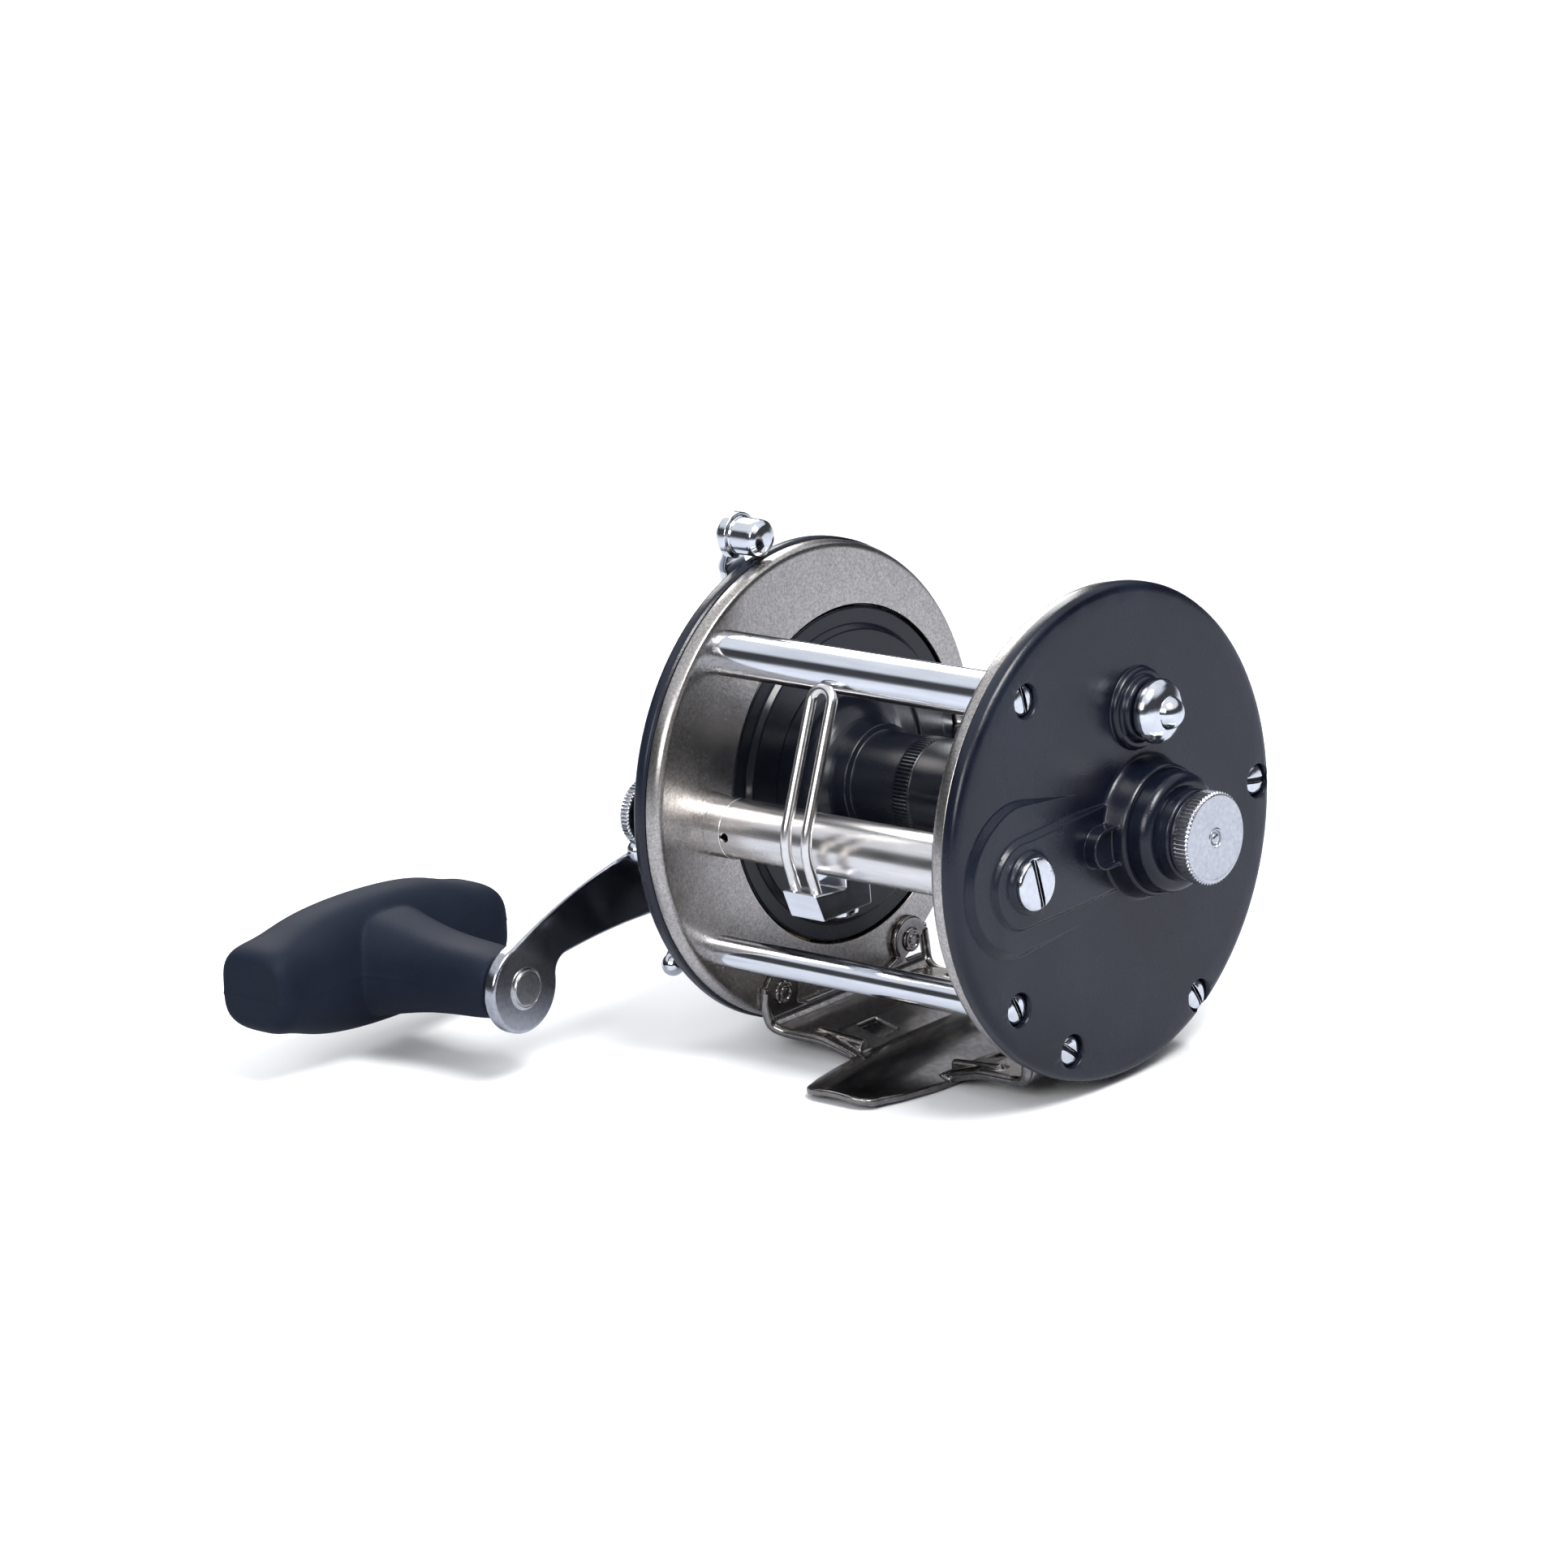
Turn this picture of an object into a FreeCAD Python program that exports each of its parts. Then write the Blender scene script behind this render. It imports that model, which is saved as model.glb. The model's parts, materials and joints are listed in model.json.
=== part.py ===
import FreeCAD, Part
import math
import os

# Level-wind trolling reel.  Millimetres.
# Row frame: origin in the middle of the foot, on the plane of the foot's lower edges.
# +Z up, +X to the handle side along the spool axis, +Y to the side of the line guide.
# Points written as (y, z) are measured from the centre of the round side plates.

V = FreeCAD.Vector
X_DIR = V(1, 0, 0)
Y_DIR = V(0, 1, 0)
Z_DIR = V(0, 0, 1)
FULL_TURN = 2 * math.pi

# Side plates and rings
PLATE_R = 40.0
PLATE_Y = 2.3
PLATE_Z = 41.3
RING_R = 39.6
RING_INNER_X = 28.2
PLATE_INNER_X = 31.0
PLATE_OUTER_X = 34.0
OPENING_R = 28.3

# Shaft positions, (y, z) from the plate centre
SPOOL = (-6.6, -0.6)
WORM = (24.2, -1.4)
HUB = (5.5, -15.1)
TOP_PILLAR = (20.4, 26.7)
LOWER_PILLAR = (26.3, -21.9)
REAR_PILLAR = (-36.4, -0.8)
FRONT_STAND_SCREW = (14.0, -32.3)
REAR_STAND_SCREW = (-18.5, -32.3)
CLICK = (-6.4, 19.0)
LEVER_PIVOT = (-0.5, 23.5)
DOG_PIVOT = (-7.0, -15.5)
GRIP_AXIS = (49.6, -25.4)

# Screws
SCREW_R = 1.5
SCREW_HOLE_R = 1.55
SCREW_HEAD_R = 2.45
RECESS_R = 2.75
RECESS_FLOOR_X = 32.4
SLOT_W = 0.9

# Gears
MODULE = 0.6
HANDLE_TEETH = 48
PINION_TEETH = 15
SPOOL_TEETH = 16
IDLER_TEETH = 24
WORM_TEETH = 40
TRAIN_X0 = -33.2
TRAIN_X1 = -31.6
MAIN_X0 = 32.8
MAIN_X1 = 35.2

# Spool
SHAFT_R = 2.4
BORE_R = 2.45
FLANGE_R = 27.9
FLANGE_INNER_X = 28.5
FLANGE_OUTER_X = 29.5
CHEEK_R = 24.2
CHEEK_X = 27.5
ARBOR_R = 8.4
SHOULDER_R = 5.2

# Worm, shield and line guide
WORM_R = 2.4
JOURNAL_R = 1.8
JOURNAL_BORE_R = 1.85
SHIELD_R = 5.0
SHIELD_WALL = 0.6
SHIELD_SEAM_X = 24.8
GUIDE_X = 4.0
BLOCK_HALF = 3.5
WIRE_R = 0.9
WIRE_HALF_GAP = 2.15

# Crank
SLEEVE_R = 4.0
POST_R = 2.5
POST_BORE_R = 2.55
ARM_X0 = 50.8
ARM_X1 = 53.2
GRIP_POST_R = 3.0

# Stand and foot
SHEET = 1.1
FOOT_Y_HALF = 36.0
FOOT_HALF_WIDTH = 11.0
FOOT_TIP_HALF_WIDTH = 6.2
FOOT_CROWN_R = 25.0
FOOT_BOW_R = 480.0
STUD_HOLE = 4.7
STUD_HOLE_X = 13.5
STUD_HOLE_Y = 6.6
STAND_FRONT = 17.0
STAND_REAR = -21.6

os.makedirs("parts", exist_ok=True)


def spot(yz, x=0.0):
    """Row-frame point of a (y, z) place on the plates."""
    return V(x, yz[0] + PLATE_Y, yz[1] + PLATE_Z)


def polar(centre, radius, degrees):
    a = math.radians(degrees)
    return (centre[0] + radius * math.cos(a), centre[1] + radius * math.sin(a))


def heading(a, b):
    """Direction in radians from a to b."""
    return math.atan2(b[1] - a[1], b[0] - a[0])


def rod(x0, x1, r, yz):
    low = min(x0, x1)
    return Part.makeCylinder(r, abs(x1 - x0), spot(yz, low), X_DIR)


def tube(x0, x1, r_out, r_in, yz):
    return rod(x0, x1, r_out, yz).cut(rod(x0, x1, r_in, yz))


def turned(profile, yz):
    """Solid turned about an X axis through yz from (x, radius) corners."""
    y, z = yz
    points = [spot((y, z + r), x) for x, r in profile]
    face = Part.Face(Part.makePolygon(points + [points[0]]))
    return face.revolve(spot(yz), X_DIR, 360)


def plate(outline, x0, x1):
    """Flat plate with a polygon outline of (y, z) places."""
    points = [spot(p, x0) for p in outline]
    face = Part.Face(Part.makePolygon(points + [points[0]]))
    return face.extrude(V(x1 - x0, 0, 0))


def bar(a, b, r, x0, x1):
    """Flat bar with round ends between two places."""
    t = heading(a, b)
    side = (-r * math.sin(t), r * math.cos(t))
    corners = [
        (a[0] + side[0], a[1] + side[1]),
        (b[0] + side[0], b[1] + side[1]),
        (b[0] - side[0], b[1] - side[1]),
        (a[0] - side[0], a[1] - side[1]),
    ]
    body = plate(corners, x0, x1)
    return body.multiFuse([rod(x0, x1, r, a), rod(x0, x1, r, b)]).removeSplitter()


def taper_bar(a, ra, b, rb, x0, x1):
    """Flat bar whose round ends have different radii, joined by tangents."""
    t = heading(a, b)
    span = math.hypot(b[0] - a[0], b[1] - a[1])
    lean = math.acos((ra - rb) / span)
    corners = []
    for centre, r, sign in ((a, ra, 1), (b, rb, 1), (b, rb, -1), (a, ra, -1)):
        corners.append(polar(centre, r, math.degrees(t + sign * lean)))
    body = plate(corners, x0, x1)
    return body.multiFuse([rod(x0, x1, ra, a), rod(x0, x1, rb, b)]).removeSplitter()


def box(x0, x1, y0, y1, z0, z1):
    return Part.makeBox(x1 - x0, y1 - y0, z1 - z0, spot((y0, z0), x0))


def toothed(teeth, r_root, r_tip, x0, x1, yz, phase, root_share, tip_share):
    """Toothed disc: shares are parts of one pitch taken by a tooth at root and tip."""
    pitch = FULL_TURN / teeth
    outline = []
    for k in range(teeth):
        middle = phase + k * pitch
        corners = ((-root_share, r_root), (-tip_share, r_tip), (tip_share, r_tip), (root_share, r_root))
        for share, r in corners:
            outline.append(polar(yz, r, math.degrees(middle + share * pitch / 2)))
    return plate(outline, x0, x1)


def gear(teeth, x0, x1, yz, phase):
    pitch_r = MODULE * teeth / 2
    return toothed(teeth, pitch_r - 1.2 * MODULE, pitch_r + 0.85 * MODULE, x0, x1, yz, phase, 0.66, 0.22)


def mesh_phase(phase_a, teeth_a, a, b, teeth_b):
    """Phase of gear b that puts it in mesh with gear a."""
    line = heading(a, b)
    pitch_a = FULL_TURN / teeth_a
    pitch_b = FULL_TURN / teeth_b
    part = ((line - phase_a) / pitch_a) % 1
    return line + math.pi + (part + 0.5) * pitch_b


def triangle_apex(a, b, from_a, from_b):
    """Place at the given distances from a and b, above the line from a to b."""
    span = math.hypot(b[0] - a[0], b[1] - a[1])
    along = (span * span + from_a * from_a - from_b * from_b) / (2 * span)
    off = math.sqrt(from_a * from_a - along * along)
    t = heading(a, b)
    return (a[0] + along * math.cos(t) - off * math.sin(t), a[1] + along * math.sin(t) + off * math.cos(t))


SPOOL_TO_IDLER = MODULE * (SPOOL_TEETH + IDLER_TEETH) / 2
IDLER_TO_WORM = MODULE * (IDLER_TEETH + WORM_TEETH) / 2
IDLER = triangle_apex(SPOOL, WORM, SPOOL_TO_IDLER, IDLER_TO_WORM)


def knurled(x0, x1, r, yz, ridges):
    """Disc with fine straight knurling and chamfered edges."""
    ridged = toothed(ridges, r - 0.22, r, x0, x1, yz, 0.0, 0.9, 0.25)
    ease = 0.45
    near = [(x0, 0), (x0, r - ease), (x0 + ease, r + 0.1)]
    far = [(x1 - ease, r + 0.1), (x1, r - ease), (x1, 0)]
    return ridged.common(turned(near + far, yz))


def save(name, shape):
    if isinstance(shape, list):
        shape = Part.makeCompound(shape)
    shape.exportStep("parts/" + name + ".step")


# ---------------------------------------------------------------- rings and plates

PILLARS = (TOP_PILLAR, LOWER_PILLAR, REAR_PILLAR)
STAND_SCREWS = (FRONT_STAND_SCREW, REAR_STAND_SCREW)
SLOT_ANGLES = {TOP_PILLAR: 78, LOWER_PILLAR: 65, REAR_PILLAR: 8, FRONT_STAND_SCREW: 38, REAR_STAND_SCREW: 60}


def side_ring(side):
    """Dished metal ring with the spool opening, on the inside of a side plate."""
    profile = [
        (RING_INNER_X, OPENING_R),
        (RING_INNER_X, RING_R - 1.3),
        (RING_INNER_X + 0.4, RING_R - 0.4),
        (RING_INNER_X + 1.3, RING_R),
        (PLATE_INNER_X, RING_R),
        (PLATE_INNER_X, OPENING_R),
    ]
    disc = turned([(side * x, 0 if r == OPENING_R else r) for x, r in profile], (0, 0))
    holes = [rod(side * 27, side * 32, OPENING_R, SPOOL)]
    holes += [rod(side * 27, side * 32, SCREW_HOLE_R, p) for p in PILLARS + STAND_SCREWS]
    holes.append(rod(side * 27, side * 32, 2.9, WORM))
    return disc.cut(Part.makeCompound(holes))


def plate_disc(side):
    """Moulded round plate with a rounded rim and a faint step inside its edge."""
    profile = [
        (PLATE_INNER_X, 0),
        (PLATE_INNER_X, PLATE_R - 0.3),
        (PLATE_INNER_X + 0.3, PLATE_R),
        (PLATE_OUTER_X - 1.3, PLATE_R),
        (PLATE_OUTER_X - 0.75, PLATE_R - 0.25),
        (PLATE_OUTER_X - 0.3, PLATE_R - 0.85),
        (PLATE_OUTER_X - 0.12, PLATE_R - 1.7),
        (PLATE_OUTER_X, PLATE_R - 4.0),
        (PLATE_OUTER_X, 0),
    ]
    return turned([(side * x, r) for x, r in profile], (0, 0))


def screw_recesses(side):
    holes = []
    for p in PILLARS + STAND_SCREWS:
        holes.append(rod(side * 30, side * 35, SCREW_HOLE_R, p))
        holes.append(rod(side * RECESS_FLOOR_X, side * 36, RECESS_R, p))
    return holes


def capsule(a, ra, b, rb, steps=30):
    """Corners of an outline round two circles and their tangents."""
    t = heading(a, b)
    lean = math.acos((ra - rb) / math.hypot(b[0] - a[0], b[1] - a[1]))
    corners = []
    for centre, r, first, sweep in ((b, rb, t - lean, 2 * lean), (a, ra, t + lean, FULL_TURN - 2 * lean)):
        for k in range(steps + 1):
            corners.append(polar(centre, r, math.degrees(first + sweep * k / steps)))
    return corners


def sloped_boss(front, front_r, rear, rear_r, slope, height, level_y, flush_y):
    """Raised boss with sloping sides; its top dips from level_y to meet the plate at flush_y."""
    base = -PLATE_OUTER_X
    wires = []
    for x, shrink in ((base + 0.6, -0.2), (base, 0.0), (base - height, slope)):
        points = [spot(p, x) for p in capsule(front, front_r - shrink, rear, rear_r - shrink)]
        wires.append(Part.makePolygon(points + [points[0]]))
    body = Part.makeLoft(wires, True, True)
    low = -60
    far_y = level_y + 40
    top = base - height
    side = ((flush_y, base + 1), (far_y, base + 1), (far_y, top), (level_y, top), (flush_y, base))
    wedge = [spot((y, low), x) for y, x in side]
    return body.common(Part.Face(Part.makePolygon(wedge + [wedge[0]])).extrude(V(0, 0, 120)))


def lipped_tab():
    """Short tab on the bearing boss: a raised lip round a shallow hollow."""
    y, z = SPOOL
    root = (y + 8.0, z)
    tip = (y + 13.0, z)
    body = bar(root, tip, 3.3, -37.2, -33.5)
    return body.cut(bar(root, tip, 2.7, -37.5, -36.2))


def left_side_plate():
    disc = plate_disc(-1)
    bearing_boss = turned([
        (-33, 0), (-33, 12.1), (-34.0, 12.1), (-34.3, 11.5), (-34.9, 11.15), (-37.9, 10.6), (-38.3, 10.45),
        (-38.5, 10.15), (-38.4, 9.85), (-38.1, 9.7), (-40.6, 9.7), (-41.3, 9.5), (-41.9, 9.0), (-42.2, 8.3),
        (-42.2, 7.7), (-42.0, 7.3), (-44.1, 7.3), (-44.5, 7.1), (-44.6, 6.5), (-45.1, 6.5), (-45.1, 0),
    ], SPOOL)
    outer_boss = sloped_boss((25.4, -0.9), 12.6, (4.0, -2.0), 9.5, 1.3, 1.0, 30.0, 12.0)
    inner_boss = sloped_boss((25.2, -1.6), 7.9, (0.0, -1.7), 7.4, 1.1, 1.8, 22.0, -4.0)
    collar = turned([(-35, 0), (-35, 5.3), (-35.8, 5.1), (-36.4, 4.9), (-36.7, 4.6), (-36.7, 0)], WORM)
    click_base = turned([
        (-33.5, 0), (-33.5, 6.65), (-34.8, 6.65), (-35.2, 6.2), (-35.2, 5.4), (-36.2, 5.2), (-36.5, 4.8),
        (-36.5, 0),
    ], CLICK)
    bosses = [outer_boss, inner_boss, lipped_tab(), bearing_boss, collar, click_base]
    body = disc.multiFuse(bosses).removeSplitter()
    cuts = screw_recesses(-1)
    pocket_x = -33.6
    cuts.append(rod(pocket_x, -30.9, 13.2, WORM))
    cuts.append(rod(pocket_x, -30.9, 8.4, IDLER))
    cuts.append(rod(pocket_x, -30.9, 6.0, SPOOL))
    cuts.append(rod(-37, -33, 3.25, WORM))
    cuts.append(rod(-46, -33, BORE_R + 0.25, SPOOL))
    cuts.append(rod(-46, -38, 4.05, SPOOL))
    cuts.append(rod(-35, -33, 1.05, IDLER))
    cuts.append(bar((CLICK[0], CLICK[1] + 0.1), (CLICK[0], CLICK[1] - 2.5), 1.75, -37, -30))
    return body.cut(Part.makeCompound(cuts))


CAVITY_ROOF_X = 39.7
HOUSING_X = 41.2
LEVER_ROOF_X = 38.3
LEVER_BOSS_X = 39.0


def right_side_plate():
    disc = plate_disc(1)
    hub_boss = turned([(33, 0), (33, 16.4), (40.2, 16.4), (41.2, 15.4), (41.2, 0)], HUB)
    spool_boss = turned([(33, 0), (33, 13.8), (40.2, 13.8), (41.2, 12.8), (41.2, 0)], SPOOL)
    middle = ((HUB[0] + SPOOL[0]) / 2, (HUB[1] + SPOOL[1]) / 2)
    joining = taper_bar(HUB, 15.4, SPOOL, 12.8, 33, HOUSING_X)
    lever_boss = bar(LEVER_PIVOT, SPOOL, 6.6, 33, LEVER_BOSS_X)
    spool_neck = rod(41, 43.2, 6.0, SPOOL)
    hub_neck = rod(41, 42.6, 7.0, HUB)
    worm_boss = turned([(33, 0), (33, 7.0), (36, 6.2), (43.0, 5.0), (43.8, 4.7), (43.8, 0)], WORM)
    bosses = [hub_boss, spool_boss, joining, lever_boss, spool_neck, hub_neck, worm_boss]
    body = disc.multiFuse(bosses).removeSplitter()
    cuts = screw_recesses(1)
    cuts.append(rod(30.9, CAVITY_ROOF_X, 15.3, HUB))
    cuts.append(rod(30.9, CAVITY_ROOF_X, 12.4, SPOOL))
    cuts.append(rod(30.9, CAVITY_ROOF_X, 8.6, middle))
    cuts.append(bar(LEVER_PIVOT, SPOOL, 5.0, 30.9, LEVER_ROOF_X))
    cuts.append(rod(37, 40, 2.25, LEVER_PIVOT))
    cuts.append(rod(39, 44, 4.05, SPOOL))
    cuts.append(rod(39, 43, 5.05, HUB))
    cuts.append(rod(30.9, 45, 3.25, WORM))
    cuts += [rod(30.9, 33.5, 0.95, p) for p in BRIDGE_PADS]
    cuts.append(bar(SPOOL, DOG_PIVOT, 6.2, 30.9, 36.0))
    return body.cut(Part.makeCompound(cuts))


# ---------------------------------------------------------------- pillars and screws

def pillar(yz, r):
    blind = 7.0
    body = rod(-RING_INNER_X, RING_INNER_X, r, yz)
    ends = []
    for side in (-1, 1):
        ends.append(rod(side * (RING_INNER_X - blind), side * 29, SCREW_HOLE_R, yz))
    return body.cut(Part.makeCompound(ends))


def round_screw(side, yz, tip_x):
    """Slotted screw whose domed head sits in its recess."""
    floor = RECESS_FLOOR_X
    head = turned([
        (side * floor, 0), (side * floor, SCREW_HEAD_R), (side * (floor + 0.6), SCREW_HEAD_R),
        (side * (floor + 1.0), SCREW_HEAD_R - 0.4), (side * (floor + 1.25), SCREW_HEAD_R - 1.3),
        (side * (floor + 1.3), 0),
    ], yz)
    shank = rod(side * tip_x, side * floor, SCREW_R, yz)
    body = head.fuse(shank)
    slot = Part.makeBox(1.2, 6.0, SLOT_W, V(0, -3.0, -SLOT_W / 2))
    slot.rotate(V(0, 0, 0), X_DIR, SLOT_ANGLES[yz])
    start = floor + 0.6 if side > 0 else -(floor + 0.6) - 1.2
    slot.translate(spot(yz, start))
    return body.cut(slot)


def pillar_screws(side):
    return [round_screw(side, p, 23.0) for p in PILLARS]


def stand_screws(side):
    """Screws with riveted-over tips that hold the stand's ears against the ring."""
    screws = []
    for p in STAND_SCREWS:
        tip = turned([
            (side * 26.0, 0), (side * 26.0, 1.0), (side * 26.4, 1.9), (side * 27.1, 2.1), (side * 27.1, 0),
        ], p)
        screws.append(round_screw(side, p, 26.9).fuse(tip))
    return screws


# ---------------------------------------------------------------- stand

def swept_sheet(points, y0, y1):
    """Sheet of even thickness along an (x, z) line, extruded in Y; z is the lower face."""
    wire = []
    for i, (x, z) in enumerate(points):
        before = points[max(i - 1, 0)]
        after = points[min(i + 1, len(points) - 1)]
        t = math.atan2(after[1] - before[1], after[0] - before[0])
        wire.append((x - SHEET * math.sin(t), z + SHEET * math.cos(t)))
    outline = list(points) + wire[::-1]
    corners = [spot((y0, z), x) for x, z in outline]
    return Part.Face(Part.makePolygon(corners + [corners[0]])).extrude(V(0, y1 - y0, 0))


def stand_wall(side):
    """Upright flange against the ring, cut to two ears by a round opening between them."""
    x0, x1 = sorted((side * 27.1, side * 28.2))
    middle_y = (STAND_FRONT + STAND_REAR) / 2
    half = 20.6
    wall = box(x0, x1, middle_y - half, middle_y + half, -37.4, -28.4)
    wall = wall.cut(rod(x0 - 1, x1 + 1, 35.4, (middle_y, -1.6)))
    ears = [rod(x0, x1, 4.0, p) for p in STAND_SCREWS]
    rounded = rod(x0, x1, 38.9, (0, 0))
    wall = wall.multiFuse(ears).common(rounded)
    return wall.cut(Part.makeCompound([rod(x0 - 1, x1 + 1, SCREW_HOLE_R, p) for p in STAND_SCREWS]))


def stand_web(side):
    """Web from the flange down to the edge of the foot, with a rounded bend under the ring."""
    line = [(8.4, -40.75), (12.5, -39.55), (16.5, -38.5), (25.2, -38.5)]
    bend_r = 3.0
    for k in range(1, 7):
        a = math.radians(15 * k)
        line.append((25.2 + bend_r * math.sin(a), -38.5 + bend_r * (1 - math.cos(a))))
    points = [(side * x, z) for x, z in line]
    if side < 0:
        points = points[::-1]
    web = swept_sheet(points, STAND_REAR, STAND_FRONT)
    hole_half = STUD_HOLE / 2
    hole = box(side * STUD_HOLE_X - hole_half, side * STUD_HOLE_X + hole_half,
               STUD_HOLE_Y - hole_half, STUD_HOLE_Y + hole_half, -43, -35)
    return web.cut(hole)


def foot_outline():
    """Leaf-shaped outline of the foot: wide middle and rounded narrower tips."""
    centre = (STAND_FRONT + STAND_REAR) / 2
    quarter = [(FOOT_HALF_WIDTH, 0), (FOOT_HALF_WIDTH, 14), (10.3, 22), (8.8, 29)]
    corner = 3.2
    tip_x = FOOT_TIP_HALF_WIDTH
    arc = []
    for k in range(7):
        a = math.radians(15 * k)
        arc.append((tip_x - corner + corner * 1.4 * math.cos(a), FOOT_Y_HALF - corner + corner * math.sin(a)))
    half = quarter + arc
    outline = half + [(-x, y) for x, y in half[::-1]]
    outline += [(-x, -y) for x, y in half[1:]] + [(x, -y) for x, y in half[::-1][:-1]]
    return [V(x, y + centre + PLATE_Y, 0) for x, y in outline]


def foot_shell():
    """Thin crowned blade, arched across and bowed a little along its length."""
    edge_z = -41.3
    reach = 14.0
    crown = math.sqrt(FOOT_CROWN_R ** 2 - FOOT_HALF_WIDTH ** 2)
    centre_z = edge_z - crown
    centre_y = (STAND_FRONT + STAND_REAR) / 2
    spread = math.degrees(math.asin(reach / FOOT_CROWN_R))
    middle = spot((centre_y, centre_z))

    def arc(r):
        points = []
        for degrees in (-spread, 0, spread):
            a = math.radians(degrees)
            points.append(middle + V(r * math.sin(a), 0, r * math.cos(a)))
        return points

    low = arc(FOOT_CROWN_R)
    high = arc(FOOT_CROWN_R + SHEET)
    edges = [
        Part.Arc(*low).toShape(),
        Part.makeLine(low[2], high[2]),
        Part.Arc(*high[::-1]).toShape(),
        Part.makeLine(high[0], low[0]),
    ]
    face = Part.Face(Part.Wire(edges))
    sweep = 6.2
    axis_at = spot((centre_y, edge_z - FOOT_BOW_R))
    face.rotate(axis_at, X_DIR, -sweep)
    shell = face.revolve(axis_at, X_DIR, 2 * sweep)
    points = foot_outline()
    prism = Part.Face(Part.makePolygon(points + [points[0]])).extrude(V(0, 0, 60))
    prism.translate(V(0, 0, -20))
    return shell.common(prism)


def stand_bead(side):
    """Stiffening bead pressed along each side of the joint of web and foot."""
    beads = []
    for y in (STAND_FRONT - 2.6, STAND_REAR + 2.6):
        start = spot((y, -38.6), side * 9.5)
        end = spot((y, -37.9), side * 19.0)
        run = end - start
        beads.append(Part.makeCylinder(1.1, run.Length, start, run))
        beads.append(Part.makeSphere(1.1, end))
    return beads


def reel_stand():
    pieces = [foot_shell()]
    for side in (-1, 1):
        pieces.append(stand_wall(side))
        pieces.append(stand_web(side))
        pieces += stand_bead(side)
    return pieces[0].multiFuse(pieces[1:])


# ---------------------------------------------------------------- worm, shield and guide

def worm_shield():
    """Half tube over the worm, open underneath, with a keyhole at its seam."""
    x0 = -RING_INNER_X
    x1 = SHIELD_SEAM_X
    body = tube(x0, x1, SHIELD_R, SHIELD_R - SHIELD_WALL, WORM)
    fan = [WORM, polar(WORM, 9, -128), polar(WORM, 13, -90), polar(WORM, 9, -52)]
    key = Part.makeCylinder(0.75, 8, spot(WORM, x1 - 1.2), Y_DIR)
    key_slot = box(x1 - 1.2, x1 + 1, WORM[0], WORM[0] + 8, WORM[1] - 0.3, WORM[1] + 0.3)
    return body.cut(Part.makeCompound([plate(fan, x0 - 1, x1 + 1), key, key_slot]))


def shield_collar():
    return tube(SHIELD_SEAM_X, RING_INNER_X, SHIELD_R, SHIELD_R - SHIELD_WALL, WORM)


def level_wind_worm():
    """Shaft with ring-shaped crests where the crossed thread runs, and plain journals."""
    profile = [(-35.7, 0), (-35.7, JOURNAL_R), (-27.0, JOURNAL_R), (-27.0, WORM_R), (-24.5, WORM_R)]
    crest = 3.5
    for k in range(14):
        x = -24.5 + k * crest
        profile += [(x, WORM_R), (x + 0.5, WORM_R - 0.7), (x + 1.2, WORM_R - 0.7), (x + 1.7, WORM_R)]
    profile += [(24.8, WORM_R), (24.8, JOURNAL_R), (43.6, JOURNAL_R), (43.6, 0)]
    clean = [p for i, p in enumerate(profile) if i == 0 or p != profile[i - 1]]
    return turned(clean, WORM)


def worm_cap_screw():
    body = rod(-36.7, -33.9, 3.2, WORM)
    head = turned([(-36.7, 0), (-36.7, 4.3), (-37.3, 4.3), (-37.6, 4.0), (-37.8, 2.6), (-37.8, 0)], WORM)
    slot = Part.makeBox(0.8, 10, 1.1, V(0, -5, -0.55))
    slot.rotate(V(0, 0, 0), X_DIR, 78)
    slot.translate(spot(WORM, -38.0))
    return body.fuse(head).cut(Part.makeCompound([slot, rod(-36, -33, JOURNAL_BORE_R, WORM)]))


def worm_end_cap():
    rim = knurled(44.1, 46.2, 5.65, WORM, 44)
    stem = rod(43.8, 44.3, 3.1, WORM)
    return rim.fuse(stem).cut(rod(43, 44.0, 2.2, WORM))


def carriage_block():
    """Carriage round the worm with a neck through the shield and a block in front."""
    x0 = GUIDE_X - BLOCK_HALF
    x1 = GUIDE_X + BLOCK_HALF
    runner = rod(x0, x1, 4.1, WORM)
    y, z = WORM
    neck = box(x0, x1, y - 2.1, y + 2.1, z - 6.0, z - 3.0)
    block = plate([(34.0, -6.5), (32.2, -11.2), (20.6, -11.2), (20.6, -7.2), (27.0, -7.2)], x0, x1)
    body = runner.multiFuse([neck, block]).removeSplitter()
    bore = rod(x0 - 1, x1 + 1, WORM_R + 0.3, WORM)
    pawl_bore = Part.makeCylinder(1.4, 10, spot((y, -11.3), GUIDE_X), Z_DIR)
    pawl_bore = pawl_bore.common(box(x0, x1, y - 3, y + 3, -11.3, -1.4))
    return body.cut(Part.makeCompound([bore, pawl_bore]))


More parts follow.
